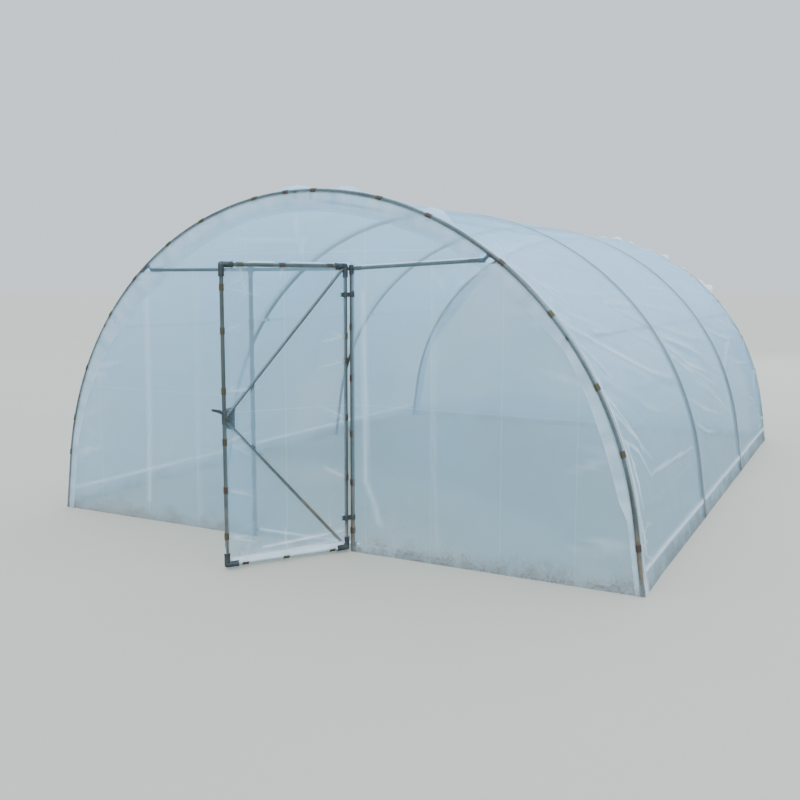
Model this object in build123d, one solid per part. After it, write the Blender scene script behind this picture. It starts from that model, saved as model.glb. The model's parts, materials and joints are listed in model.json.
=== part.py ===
from build123d import *
from math import cos, radians, sin, sqrt
import os

# Polytunnel greenhouse: four bent tube hoops on straight splayed legs, a film skin,
# a framed doorway in the front gable and one door leaf that stands open.
# X across the tunnel, Y from the front gable to the rear one, Z up, ground at Z = 0.
# The origin is on the ground, in the middle of the whole outline with the door open.

# Plan and profile
FRONT_Y = -2965.0
BAY = 2250.0
HOOP_COUNT = 4
ARC_R = 2481.0
CROWN_Z = 2621.4
ARC_Z = CROWN_Z - ARC_R
LEG_SPLAY = 7.8
HOOP_Y = [FRONT_Y + BAY * i for i in range(HOOP_COUNT)]
REAR_Y = HOOP_Y[-1]

# Tubes
HOOP_TUBE = 16.0
POST_TUBE = 16.0
LEAF_TUBE = 13.5
BAR_TUBE = 12.5
PURLIN_TUBE = 9.0
BRACE_TUBE = 11.5

# Fits
SEAT = 0.3
RUNNING = 0.08
TUBE_FIT = 0.15

# Film skin, drawn thicker than the real 0.2 mm sheet
FILM = 2.0
COVER_SEGMENTS = 6

# Clips that press the film on the tubes
CLIP_WALL = 3.0
CLIP_LENGTH = 45.0
CLIP_MOUTH = 70.0
CLIP_LIP = 2.3

# Film edges end this far from a tube's axis, so that a clip stands between film and tube
FILM_EDGE = HOOP_TUBE + SEAT + CLIP_WALL + 0.3
EDGE_STEP = sqrt(FILM_EDGE**2 - (HOOP_TUBE + SEAT) ** 2)

# Long tubes tied under the hoops
TIE_GAP = 5.5
RIDGE_ANGLE = 91.5
PURLIN_ANGLE = 36.4
TIE_OVERRUN = 10.0
SLEEVE_PROUD = 4.0
CLAMP_WIDTH = 30.0

# Doorway
LATCH_X = -490.0
HINGE_X = 400.0
HEAD_DROP = 557.4
BAR_Z = CROWN_Z - HEAD_DROP
POST_TOP = BAR_Z + 21.0
BAR_RIGHT_RISE = 45.0
BAR_LEFT_RISE = 3.0
BAR_END_GAP = 2.0
BRACKET_RISE = 40.0
BRACKET_REACH = 44.0
BRACKET_SLEEVE = 105.0
BRACKET_STOP = 6.0
BRACKET_STRAP = 40.0
CAP_DROP = 42.0
CAP_TOP = 5.0
CAP_SOCKET = 60.0
HEADER_OVERRUN = 40.0
WEB_INSET = 4.0
DOORWAY_BACK = POST_TUBE + BAR_TUBE + 6.5
SILL_Z = 45.0
FITTING_WALL = 3.4
COLLAR_RISE = 2.0
COLLAR_LENGTH = 9.0
BOSS_R = 5.5
BOSS_RISE = 3.5

# Door leaf, drawn shut along -X from the hinge axis and then swung open
OPEN_ANGLE = 56.5
STILE_REACH = 52.0
FREE_REACH = 957.0
RAIL_LOW_Z = 38.0
RAIL_HIGH_Z = BAR_Z + 16.0
BRACE_Z = 1047.0
ELBOW_R = 20.0
ELBOW_ARM = 78.0
HINGE_Z = [258.0, RAIL_HIGH_Z - 201.0]
HINGE_HEIGHT = 32.0
HINGE_WALL = 3.5
HINGE_NOTCH = 32.0
EAR_REACH = 36.0
EAR_THICK = 5.0
EAR_SLIT = 3.0
PINCH_BOLT_R = 4.0
PINCH_BOLT_PROUD = 3.5
CORNER_STOP = 15.0
PLATE = 4.0
PLATE_REACH = 78.0
PLATE_LAP = 4.0
PLATE_HALF_NARROW = 62.0
PLATE_HALF_WIDE = 84.0
HUG_HALF = 34.0
BRACE_INSET = 14.0
BRACE_SPREAD = 16.0
TAIL = 3.0

os.makedirs("parts", exist_ok=True)


def save(node, solids):
    """Write one node, made of one solid or of several that don't touch."""
    if not isinstance(solids, list):
        solids = [solids]
    flat = [s for item in solids for s in item.solids()]
    export_step(flat[0] if len(flat) == 1 else Compound(children=flat), f"parts/{node}.step")


def rod(start, end, radius):
    """Round bar between two points."""
    a = Vector(*start)
    run = Vector(*end) - a
    plane = Plane(origin=a, z_dir=run.normalized())
    return Solid.make_cylinder(radius, run.length, plane)


def arch_point(angle, radius=ARC_R):
    """X and Z of a point of the arch, the angle counted from +X."""
    return radius * cos(radians(angle)), ARC_Z + radius * sin(radians(angle))


def arch_wire(radius):
    """Hoop line from the right foot over the top to the left foot, in the XZ plane."""
    x, z = arch_point(LEG_SPLAY, radius)
    foot = x + z * sin(radians(LEG_SPLAY)) / cos(radians(LEG_SPLAY))
    right = Line((foot, 0, 0), (x, 0, z))
    over = ThreePointArc((x, 0, z), (0, 0, ARC_Z + radius), (-x, 0, z))
    left = Line((-x, 0, z), (-foot, 0, 0))
    return [right, over, left], foot


def hoop(y):
    """One bent tube with both feet cut level with the ground."""
    edges, foot = arch_wire(ARC_R)
    path = Wire([edge.edge() for edge in edges])
    start = Plane(origin=(foot, 0, 0), z_dir=(-sin(radians(LEG_SPLAY)), 0, cos(radians(LEG_SPLAY))))
    tube = sweep(start * Circle(HOOP_TUBE), path)
    stub = HOOP_TUBE / 2
    lean = sin(radians(LEG_SPLAY)) / cos(radians(LEG_SPLAY))
    for side in (1, -1):
        tube = tube + rod((side * foot, 0, 0), (side * (foot + stub * lean), 0, -stub), HOOP_TUBE)
    above_ground = Pos(0, 0, CROWN_Z) * Box(4 * foot, 4 * HOOP_TUBE, 2 * CROWN_Z)
    return Pos(0, y, 0) * (tube & above_ground)


def arch_face(radius, x_low=-2 * ARC_R, x_high=2 * ARC_R, z_low=0.0):
    """Flat sheet under the arch line of the given radius, cut to an X range."""
    edges, foot = arch_wire(radius)
    outline = Wire([edge.edge() for edge in edges] + [Edge.make_line((-foot, 0, 0), (foot, 0, 0))])
    sheet = Solid.extrude(Face(outline), Vector(0, FILM, 0))
    if sheet.bounding_box().max.Y < FILM / 2:
        sheet = Pos(0, FILM, 0) * sheet
    keep = Pos((x_low + x_high) / 2, 0, z_low + CROWN_Z) * Box(x_high - x_low, 20 * FILM, 2 * CROWN_Z)
    return sheet & keep


def clip(radius, centre, along, mouth):
    """Open ring that snaps on a tube, its mouth rolled to two lips, along the second direction."""
    plane = Plane(origin=centre, x_dir=mouth, z_dir=along)
    ring = Circle(radius + SEAT + CLIP_WALL) - Circle(radius + SEAT)
    far = 3 * radius
    half = radians(CLIP_MOUTH / 2)
    wedge = Polygon(
        (0, 0),
        (far * cos(half), far * sin(half)),
        (far * 1.5, 0),
        (far * cos(half), -far * sin(half)),
        align=None,
    )
    section = ring - wedge
    lip_r = radius + SEAT + CLIP_LIP
    for side in (1, -1):
        section = section + Pos(lip_r * cos(half), side * lip_r * sin(half)) * Circle(CLIP_LIP)
    return plane * extrude(section, CLIP_LENGTH / 2, both=True)


# Hoops
hoop_names = ["front_hoop", "second_hoop", "third_hoop", "rear_hoop"]
for name, y in zip(hoop_names, HOOP_Y):
    save(name, hoop(y))

# Long tubes and the clamps that tie them under every hoop
leg_lean = radians(LEG_SPLAY)
ties = (
    ("ridge_purlin", RIDGE_ANGLE, BAR_TUBE),
    ("right_purlin", PURLIN_ANGLE, PURLIN_TUBE),
    ("left_purlin", 180 - PURLIN_ANGLE, PURLIN_TUBE),
)
hoop_clamps = []
for name, angle, tie_tube in ties:
    spot = arch_point(angle)
    inward = (-cos(radians(angle)), -sin(radians(angle)))
    drop = HOOP_TUBE + tie_tube + TIE_GAP
    x = spot[0] + inward[0] * drop
    z = spot[1] + inward[1] * drop
    save(name, rod((x, FRONT_Y - TIE_OVERRUN, z), (x, REAR_Y + TIE_OVERRUN, z), tie_tube))
    for y in HOOP_Y:
        toward = Vector(inward[0], 0, inward[1])
        along = Vector(0, 1, 0).cross(toward)
        on_hoop = Plane(origin=(spot[0], y, spot[1]), x_dir=toward, z_dir=along)
        saddle = extrude(Circle(HOOP_TUBE + SEAT + CLIP_WALL) - Circle(HOOP_TUBE + SEAT), CLAMP_WIDTH / 2, both=True)
        saddle = on_hoop * (saddle & (Pos(2 * HOOP_TUBE, 0, 0) * Box(4 * HOOP_TUBE, 6 * HOOP_TUBE, 2 * CLAMP_WIDTH)))
        reach = TIE_OVERRUN + SLEEVE_PROUD
        lower = reach if y == FRONT_Y else CLAMP_WIDTH / 2
        upper = reach if y == REAR_Y else CLAMP_WIDTH / 2
        sleeve = rod((x, y - lower, z), (x, y + upper, z), tie_tube + SEAT + FITTING_WALL)
        bore = rod((x, y - 2 * CLAMP_WIDTH, z), (x, y + 2 * CLAMP_WIDTH, z), tie_tube + SEAT)
        hoop_room = on_hoop * extrude(Circle(HOOP_TUBE + SEAT), 2 * CLAMP_WIDTH, both=True)
        hoop_clamps.append((saddle + sleeve) - bore - hoop_room)
save("hoop_clamps", hoop_clamps)

# Film cover over the hoops, in segments round the arch
cover_in = ARC_R + HOOP_TUBE + SEAT
cover_low = FRONT_Y + EDGE_STEP
cover_high = REAR_Y - EDGE_STEP


def arch_block(radius):
    """Long solid under the arch line, from the front to the rear edge of the cover."""
    edges, foot = arch_wire(radius)
    outline = Wire([edge.edge() for edge in edges] + [Edge.make_line((-foot, 0, 0), (foot, 0, 0))])
    block = Solid.extrude(Face(outline), Vector(0, cover_high - cover_low, 0))
    return Pos(0, cover_low - block.bounding_box().min.Y, 0) * block


cover = arch_block(cover_in + FILM) - arch_block(cover_in)
cover_names = [
    "right_side_film",
    "right_shoulder_film",
    "right_crown_film",
    "left_crown_film",
    "left_shoulder_film",
    "left_side_film",
]
step = (180 - 2 * LEG_SPLAY) / COVER_SEGMENTS
for i, name in enumerate(cover_names):
    low_angle = -20 if i == 0 else LEG_SPLAY + step * i
    high_angle = 200 if i == COVER_SEGMENTS - 1 else LEG_SPLAY + step * (i + 1)
    corners = [(0, ARC_Z)]
    for k in range(4):
        angle = radians(low_angle + (high_angle - low_angle) * k / 3)
        corners.append((2 * ARC_R * cos(angle), ARC_Z + 2 * ARC_R * sin(angle)))
    wedge = Plane.XZ * Polygon(*corners, align=None)
    wedge = extrude(wedge, BAY * HOOP_COUNT, both=True)
    save(name, cover & wedge)

# Gable films
film_front = FRONT_Y - HOOP_TUBE - SEAT - FILM
FILM_TOP_Z = RAIL_HIGH_Z + 32.0
gable_r = ARC_R - EDGE_STEP
DOOR_STEP = sqrt((ELBOW_R + SEAT) ** 2 - (POST_TUBE + SEAT) ** 2)
left_edge = LATCH_X - DOOR_STEP
right_edge = HINGE_X + DOOR_STEP
save("front_film_left", Pos(0, film_front, 0) * arch_face(gable_r, x_high=left_edge))
film_right = Pos(0, film_front, 0) * arch_face(gable_r, x_low=right_edge)
for z in HINGE_Z:
    notch = Box(2 * HINGE_NOTCH, 20 * FILM, HINGE_HEIGHT + 2 * HINGE_WALL + 4)
    film_right = film_right - Pos(HINGE_X, film_front, z) * notch
save("front_film_right", film_right)
save(
    "front_film_top",
    Pos(0, film_front, 0) * arch_face(gable_r, x_low=left_edge, x_high=right_edge, z_low=FILM_TOP_Z),
)
save("rear_film", Pos(0, REAR_Y + HOOP_TUBE + SEAT, 0) * arch_face(gable_r))

# Clips round the front and rear hoops, by their share of the hoop's length from the right foot
CLIP_SHARES = [
    0.0384, 0.1126, 0.1683, 0.2363, 0.2951, 0.3718, 0.4219, 0.4894, 0.5191,
    0.5543, 0.6193, 0.6663, 0.7226, 0.7727, 0.8401, 0.8989, 0.9373,
]
leg_length = arch_point(LEG_SPLAY)[1] / cos(leg_lean)
arc_length = ARC_R * radians(180 - 2 * LEG_SPLAY)


def hoop_spot(s):
    """X, Z, direction along and direction outward at a distance along the hoop."""
    foot = arch_wire(ARC_R)[1]
    if s < leg_length:
        return foot - s * sin(leg_lean), s * cos(leg_lean), (-sin(leg_lean), cos(leg_lean)), (cos(leg_lean), sin(leg_lean))
    if s > leg_length + arc_length:
        x, z, along, out = hoop_spot(2 * leg_length + arc_length - s)
        return -x, z, (along[0], -along[1]), (-out[0], out[1])
    angle = radians(LEG_SPLAY) + (s - leg_length) / ARC_R
    return ARC_R * cos(angle), ARC_Z + ARC_R * sin(angle), (-sin(angle), cos(angle)), (cos(angle), sin(angle))


for name, y, back in (("front_hoop_clips", FRONT_Y, 1), ("rear_hoop_clips", REAR_Y, -1)):
    clips = []
    for share in CLIP_SHARES:
        x, z, along, out = hoop_spot(share * (2 * leg_length + arc_length))
        mouth = Vector(-out[0], back, -out[1]).normalized()
        clips.append(clip(HOOP_TUBE, (x, y, z), (along[0], 0, along[1]), mouth))
    save(name, clips)

# Doorway posts, with the fittings on their tops
save("latch_post", rod((LATCH_X, FRONT_Y, 0), (LATCH_X, FRONT_Y, POST_TOP), POST_TUBE))
save("hinge_post", rod((HINGE_X, FRONT_Y, 0), (HINGE_X, FRONT_Y, POST_TOP), POST_TUBE))

bars = {}
for side, post_x in ((-1, LATCH_X), (1, HINGE_X)):
    end_z = BAR_Z + (BAR_RIGHT_RISE if side > 0 else BAR_LEFT_RISE)
    grip_z = end_z + BRACKET_RISE
    hoop_x = sqrt(ARC_R**2 - (grip_z - ARC_Z) ** 2)
    inner = Vector(post_x + side * (POST_TUBE + SEAT + BAR_END_GAP), FRONT_Y, BAR_Z)
    outer = Vector(side * (hoop_x - BRACKET_REACH), FRONT_Y, end_z)
    bars[side] = (inner, outer, Vector(side * hoop_x, FRONT_Y, grip_z))

post_fittings = []
brackets = []
for side, name in ((-1, "crossbar_left"), (1, "crossbar_right")):
    inner, outer, grip = bars[side]
    line = (outer - inner).normalized()
    save(name, rod(tuple(inner), tuple(outer), BAR_TUBE))
    post_x = LATCH_X if side < 0 else HINGE_X
    cap = rod((post_x, FRONT_Y, BAR_Z - CAP_DROP), (post_x, FRONT_Y, POST_TOP + CAP_TOP), ELBOW_R)
    socket = rod(tuple(inner), tuple(inner + line * CAP_SOCKET), BAR_TUBE + FITTING_WALL)
    post_room = rod((post_x, FRONT_Y, 0), (post_x, FRONT_Y, POST_TOP), POST_TUBE + SEAT)
    bar_room = rod(tuple(inner), tuple(inner + line * 2 * CAP_SOCKET), BAR_TUBE + SEAT)
    post_fittings.append((cap + socket) - post_room - bar_room)
    sleeve_end = tuple(outer + line * BRACKET_STOP)
    sleeve = rod(tuple(outer - line * BRACKET_SLEEVE), sleeve_end, BAR_TUBE + FITTING_WALL)
    link = rod(tuple(outer - line * BRACKET_STOP), tuple(grip), BAR_TUBE)
    angle_dir = Vector(grip.X, 0, grip.Z - ARC_Z).normalized()
    tangent = Vector(0, 1, 0).cross(angle_dir)
    on_hoop = Plane(origin=grip, x_dir=-angle_dir, z_dir=tangent)
    strap = extrude(Circle(HOOP_TUBE + SEAT + CLIP_WALL) - Circle(HOOP_TUBE + SEAT), BRACKET_STRAP / 2, both=True)
    strap = on_hoop * (strap & (Pos(2 * HOOP_TUBE, 0, 0) * Box(4 * HOOP_TUBE, 6 * HOOP_TUBE, 2 * BRACKET_STRAP)))
    hoop_room = on_hoop * extrude(Circle(HOOP_TUBE + SEAT), 2 * BRACKET_STRAP, both=True)
    sleeve_room = rod(tuple(outer - line * 2 * BRACKET_SLEEVE), tuple(outer), BAR_TUBE + SEAT)
    front_room = Pos(0, FRONT_Y - 2 * HOOP_TUBE - SEAT, 0) * Box(4 * ARC_R, 2 * HOOP_TUBE, 4 * CROWN_Z)
    brackets.append(((sleeve + link + strap) - hoop_room - sleeve_room - front_room).solids().sort_by(SortBy.VOLUME)[-1])
save("post_top_fittings", post_fittings)
save("crossbar_brackets", brackets)

# Header and sill, tied behind the posts
socket_r = BAR_TUBE + FITTING_WALL
door_clamps = []
for name, z in (("door_header", BAR_Z), ("door_sill", SILL_Z)):
    y = FRONT_Y + DOORWAY_BACK
    save(name, rod((LATCH_X - HEADER_OVERRUN, y, z), (HINGE_X + HEADER_OVERRUN, y, z), BAR_TUBE))
    for post_x in (LATCH_X, HINGE_X):
        post_r = ELBOW_R + SEAT if name == "door_header" else POST_TUBE + SEAT
        half = CLAMP_WIDTH / 2
        ring = rod((post_x - half, y, z), (post_x + half, y, z), BAR_TUBE + SEAT + CLIP_WALL)
        hug = rod((post_x, FRONT_Y, z - half), (post_x, FRONT_Y, z + half), post_r + CLIP_WALL)
        back_room = Box(2 * CLAMP_WIDTH, 2 * (DOORWAY_BACK - socket_r - SEAT), 2 * CLAMP_WIDTH)
        hug = hug & (Pos(post_x, FRONT_Y + DOORWAY_BACK, z) * back_room)
        web_width = CLAMP_WIDTH - 2 * WEB_INSET
        web = Pos(post_x, FRONT_Y + DOORWAY_BACK / 2, z) * Box(web_width, DOORWAY_BACK, web_width)
        bar_room = rod((post_x - CLAMP_WIDTH, y, z), (post_x + CLAMP_WIDTH, y, z), BAR_TUBE + SEAT)
        post_room = rod((post_x, FRONT_Y, z - CLAMP_WIDTH), (post_x, FRONT_Y, z + CLAMP_WIDTH), post_r)
        clamp = (ring + hug + web) - bar_room - post_room
        door_clamps.append(clamp.solids().sort_by(SortBy.VOLUME)[-1])
save("door_frame_clamps", door_clamps)

# Clips on the hinge post and the latch post, by their share of the post's height
POST_CLIP_SHARES = [0.0767, 0.2494, 0.4201, 0.6158, 0.7914]
post_clips = []
for post_x, side in ((LATCH_X, -1), (HINGE_X, 1)):
    for share in POST_CLIP_SHARES:
        mouth = Vector(side * 0.2, 1, 0).normalized()
        post_clips.append(clip(POST_TUBE, (post_x, FRONT_Y, share * POST_TOP), (0, 0, 1), mouth))
save("post_clips", post_clips)

# Door leaf, drawn shut along -X from the hinge axis and then swung open
SWING = Pos(HINGE_X, FRONT_Y, 0) * Rot(0, 0, OPEN_ANGLE)
corners = {
    "hinge_low": (-STILE_REACH, RAIL_LOW_Z, -1, 1),
    "hinge_high": (-STILE_REACH, RAIL_HIGH_Z, -1, -1),
    "free_low": (-FREE_REACH, RAIL_LOW_Z, 1, 1),
    "free_high": (-FREE_REACH, RAIL_HIGH_Z, 1, -1),
}


def swung(shape):
    return SWING * shape


low_end = RAIL_LOW_Z + CORNER_STOP
high_end = RAIL_HIGH_Z - CORNER_STOP
near_end = -STILE_REACH - CORNER_STOP
far_end = -FREE_REACH + CORNER_STOP
leaf = {
    "hinge_stile": rod((-STILE_REACH, 0, low_end), (-STILE_REACH, 0, high_end), LEAF_TUBE),
    "free_stile": rod((-FREE_REACH, 0, low_end), (-FREE_REACH, 0, high_end), LEAF_TUBE),
    "top_rail": rod((near_end, 0, RAIL_HIGH_Z), (far_end, 0, RAIL_HIGH_Z), LEAF_TUBE),
    "bottom_rail": rod((near_end, 0, RAIL_LOW_Z), (far_end, 0, RAIL_LOW_Z), LEAF_TUBE),
}
for name, tube in leaf.items():
    save(name, swung(tube))


def elbow_shape(x, z, run_x, run_z, ease=0.0):
    """Cast elbow: two sockets with a collar at each mouth and a screw boss on each, grown by ease."""
    body = Pos(x, 0, z) * Sphere(ELBOW_R + ease)
    for way in ((0, 0, run_z), (run_x, 0, 0)):
        mouth = ELBOW_ARM + ease
        collar = ELBOW_ARM - COLLAR_LENGTH - ease
        start = (x, 0, z)
        end = (x + way[0] * mouth, 0, z + way[2] * mouth)
        collar_start = (x + way[0] * collar, 0, z + way[2] * collar)
        boss_x = x + way[0] * ELBOW_ARM / 2
        boss_z = z + way[2] * ELBOW_ARM / 2
        boss_tip = (boss_x, -ELBOW_R - BOSS_RISE - ease, boss_z)
        body = body + rod(start, end, ELBOW_R + ease)
        body = body + rod(collar_start, end, ELBOW_R + COLLAR_RISE + ease)
        body = body + rod((boss_x, 0, boss_z), boss_tip, BOSS_R + ease)
    return body


elbows = []
for x, z, run_x, run_z in corners.values():
    reach = 2 * ELBOW_ARM
    upright_bore = rod((x, 0, z + run_z * CORNER_STOP), (x, 0, z + run_z * reach), LEAF_TUBE + TUBE_FIT)
    level_bore = rod((x + run_x * CORNER_STOP, 0, z), (x + run_x * reach, 0, z), LEAF_TUBE + TUBE_FIT)
    elbows.append(elbow_shape(x, z, run_x, run_z) - upright_bore - level_bore)
save("corner_fittings", [swung(elbow) for elbow in elbows])

# Two braces from the corners at the hinge side to the middle of the free stile
elbow_room = [elbow_shape(x, z, run_x, run_z, SEAT) for x, z, run_x, run_z in corners.values()]
tube_room = [
    rod((-STILE_REACH, 0, 0), (-STILE_REACH, 0, RAIL_HIGH_Z), LEAF_TUBE + SEAT),
    rod((-FREE_REACH, 0, 0), (-FREE_REACH, 0, RAIL_HIGH_Z), LEAF_TUBE + SEAT),
]
plate_face = Plane.XZ * Polygon(
    (-FREE_REACH - PLATE_LAP, BRACE_Z - PLATE_HALF_NARROW),
    (-FREE_REACH + PLATE_REACH, BRACE_Z - PLATE_HALF_WIDE),
    (-FREE_REACH + PLATE_REACH, BRACE_Z + PLATE_HALF_WIDE),
    (-FREE_REACH - PLATE_LAP, BRACE_Z + PLATE_HALF_NARROW),
    align=None,
)
PLATE_Y = BRACE_TUBE + SEAT
gusset = extrude(plate_face, PLATE, both=False)
gusset = Pos(0, PLATE_Y - gusset.bounding_box().min.Y, 0) * gusset
hug = rod((-FREE_REACH, 0, BRACE_Z - HUG_HALF), (-FREE_REACH, 0, BRACE_Z + HUG_HALF), LEAF_TUBE + SEAT + CLIP_WALL)
gusset = gusset + hug - tube_room[1]
save("brace_gusset", swung(gusset))

for name, z, run_z in (("upper_brace", RAIL_HIGH_Z, 1), ("lower_brace", RAIL_LOW_Z, -1)):
    free_end = (-FREE_REACH + BRACE_INSET, 0, BRACE_Z + run_z * BRACE_SPREAD)
    hinge_end = (-STILE_REACH - BRACE_INSET, 0, z - run_z * BRACE_INSET)
    brace = rod(free_end, hinge_end, BRACE_TUBE)
    side_room = Box(4 * FREE_REACH, 4 * BRACE_TUBE, 4 * RAIL_HIGH_Z)
    brace = brace & (Pos(0, 0, BRACE_Z + run_z * (2 * RAIL_HIGH_Z + SEAT)) * side_room)
    for room in elbow_room + tube_room + [gusset]:
        brace = brace - room
    brace = brace.solids().sort_by(SortBy.VOLUME)[-1]
    save(name, swung(brace))

# Latch tail: flat bar bent to a pull, on the outer side of the free stile
tail_line = [
    (-FREE_REACH + 30, BRACE_Z + 4),
    (-FREE_REACH - 30, BRACE_Z + 66),
    (-FREE_REACH - 60, BRACE_Z + 72),
    (-FREE_REACH - 92, BRACE_Z + 78),
    (-FREE_REACH - 92, BRACE_Z + 62),
    (-FREE_REACH - 58, BRACE_Z + 52),
    (-FREE_REACH - 28, BRACE_Z + 38),
    (-FREE_REACH + 30, BRACE_Z - 22),
]
tail = extrude(Plane.XZ * Polygon(*tail_line, align=None), TAIL, both=False)
tail = Pos(0, -LEAF_TUBE - CLIP_WALL - 2 * SEAT - TAIL - tail.bounding_box().min.Y, 0) * tail
save("latch_tail", swung(tail))

# Leaf film on the outer face, its corners cut round the fittings
leaf_clip_r = LEAF_TUBE + SEAT + CLIP_WALL + 0.3
leaf_step = sqrt(leaf_clip_r**2 - (LEAF_TUBE + SEAT) ** 2)
x_far = -FREE_REACH + leaf_step
x_near = -STILE_REACH - leaf_step
z_low = RAIL_LOW_Z + leaf_step
z_high = RAIL_HIGH_Z - leaf_step
leaf_film = Pos((x_far + x_near) / 2, -LEAF_TUBE - SEAT - FILM / 2, (z_low + z_high) / 2) * Box(
    x_near - x_far, FILM, z_high - z_low
)
for room in elbow_room:
    leaf_film = leaf_film - room
save("leaf_film", swung(leaf_film))
leaf_film_room = Pos((x_far + x_near) / 2, -LEAF_TUBE - SEAT - FILM / 2, (z_low + z_high) / 2) * Box(
    x_near - x_far + 2 * SEAT, FILM + SEAT, z_high - z_low
)

# Clips on the leaf, by their share of the leaf's height and of its reach
LEAF_CLIPS_FREE = [0.1144, 0.2688, 0.4279, 0.5947, 0.7894, 0.9279]
LEAF_CLIPS_HINGE = [0.2692, 0.4808, 0.6784, 0.763]
LEAF_CLIPS_LEVEL = [0.8673, 0.5517, 0.1776]
leaf_clips = []
for share in LEAF_CLIPS_FREE:
    spot = (-FREE_REACH, 0, share * RAIL_HIGH_Z)
    leaf_clips.append(clip(LEAF_TUBE, spot, (0, 0, 1), Vector(1, 1, 0).normalized()))
for share in LEAF_CLIPS_HINGE:
    spot = (-STILE_REACH, 0, share * RAIL_HIGH_Z)
    leaf_clips.append(clip(LEAF_TUBE, spot, (0, 0, 1), Vector(-1, 1, 0).normalized()))
for share in LEAF_CLIPS_LEVEL:
    for z, mouth_z in ((RAIL_HIGH_Z, -1), (RAIL_LOW_Z, 1)):
        spot = (-share * FREE_REACH, 0, z)
        leaf_clips.append(clip(LEAF_TUBE, spot, (1, 0, 0), Vector(0, 1, mouth_z).normalized()))
save("leaf_clips", [swung(item) for item in leaf_clips])

# Hinge clamps: one ring turns on the post, the other is split and pinched on the stile by a bolt
hinges = []
for z in HINGE_Z:
    low = z - HINGE_HEIGHT / 2
    high = z + HINGE_HEIGHT / 2
    ear_x = -STILE_REACH - EAR_REACH / 2
    bolt_x = -STILE_REACH - EAR_REACH + 2 * PINCH_BOLT_R
    bolt_y = EAR_SLIT / 2 + EAR_THICK + PINCH_BOLT_PROUD
    post_ring = rod((0, 0, low), (0, 0, high), POST_TUBE + HINGE_WALL)
    stile_ring = rod((-STILE_REACH, 0, low), (-STILE_REACH, 0, high), LEAF_TUBE + HINGE_WALL)
    web = Pos(-STILE_REACH / 2 - 1, 0, z) * Box(26, 14, HINGE_HEIGHT)
    ears = Pos(ear_x, 0, z) * Box(EAR_REACH, 2 * EAR_THICK + EAR_SLIT, HINGE_HEIGHT)
    slit = Pos(ear_x - LEAF_TUBE / 2, 0, z) * Box(EAR_REACH, EAR_SLIT, HINGE_HEIGHT + 2)
    bolt = rod((bolt_x, -bolt_y, z), (bolt_x, bolt_y, z), PINCH_BOLT_R)
    body = post_ring + stile_ring + web + ears - slit + bolt
    body = body - rod((0, 0, low - 5), (0, 0, high + 5), POST_TUBE + RUNNING)
    body = body - rod((-STILE_REACH, 0, low - 5), (-STILE_REACH, 0, high + 5), LEAF_TUBE + TUBE_FIT)
    body = body - Pos(0, SEAT / 2, 0) * leaf_film_room
    hinges.append(body.solids().sort_by(SortBy.VOLUME)[-1])
save("hinge_clamps", [swung(item) for item in hinges])
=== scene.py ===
import json
from functools import cache, partial
from math import ceil, cos, hypot, pi, radians, sin, sqrt

import bmesh
import bpy
import numpy as np
from bpy.props import FloatProperty, FloatVectorProperty, PointerProperty
from mathutils import Matrix, Vector


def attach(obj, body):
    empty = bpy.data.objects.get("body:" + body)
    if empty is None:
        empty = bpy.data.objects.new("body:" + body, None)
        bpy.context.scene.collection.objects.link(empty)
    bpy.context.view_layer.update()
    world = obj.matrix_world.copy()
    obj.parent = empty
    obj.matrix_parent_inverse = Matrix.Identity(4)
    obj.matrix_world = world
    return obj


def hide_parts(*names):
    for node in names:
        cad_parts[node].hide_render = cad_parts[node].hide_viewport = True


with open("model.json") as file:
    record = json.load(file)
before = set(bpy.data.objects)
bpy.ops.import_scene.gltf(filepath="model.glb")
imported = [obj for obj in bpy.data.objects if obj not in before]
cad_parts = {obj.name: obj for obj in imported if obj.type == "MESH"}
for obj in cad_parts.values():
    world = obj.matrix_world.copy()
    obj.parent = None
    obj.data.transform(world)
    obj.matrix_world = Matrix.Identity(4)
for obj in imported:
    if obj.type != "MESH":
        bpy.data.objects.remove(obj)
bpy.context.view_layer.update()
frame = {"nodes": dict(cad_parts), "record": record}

bl_info = {
    "name": "Hooped Film Tunnel",
    "version": (1, 0, 0),
    "blender": (4, 5, 0),
    "location": "View3D > Sidebar > Tunnel",
    "description": "Film sheets, fixings and finishes of a walk-in growing tunnel round its tube frame",
    "category": "Object",
}

MM = 0.001

# The tube frame's own lines, in metres
FRONT_Y = -2.965
BAY = 2.25
HOOP_COUNT = 4
HOOPS = [BAY * i for i in range(HOOP_COUNT)]
LENGTH = HOOPS[-1]
REAR_Y = FRONT_Y + LENGTH
ARC_R = 2.481
CROWN_Z = 2.6214
ARC_Z = CROWN_Z - ARC_R
SPLAY = radians(7.8)
HOOP_TUBE = 16 * MM
LEAF_TUBE = 13.5 * MM
BAR_TUBE = 12.5 * MM
BRACE_TUBE = 11.5 * MM
PURLIN_TUBE = 9 * MM
TIE_GAP = 5.5 * MM
LEG = (ARC_Z + ARC_R * sin(SPLAY)) / cos(SPLAY)
ARC = ARC_R * (pi - 2 * SPLAY)
GIRTH = 2 * LEG + ARC

# Doorway and leaf
LATCH_X = -0.490
HINGE_X = 0.400
BAR_Z = 2.064
BAR_RUN = 0.99
POST_TOP = 2.085
DOOR_HEAD = 2.112
SILL_Z = 0.045
HEADER_BACK = 35 * MM
# Each crossbar's post, its side, and how far it climbs to the hoop
BARS = ((LATCH_X, -1, 3 * MM), (HINGE_X, 1, 45 * MM))
HINGE_Z = (0.258, 1.879)
HINGE_HEIGHT = 32 * MM
OPEN_ANGLE = radians(56.5)
STILE_REACH = 0.052
FREE_REACH = 0.957
RAIL_LOW = 0.038
RAIL_HIGH = 2.080
BRACE_Z = 1.047
ELBOW_R = 20 * MM
ELBOW_ARM = 78 * MM
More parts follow.
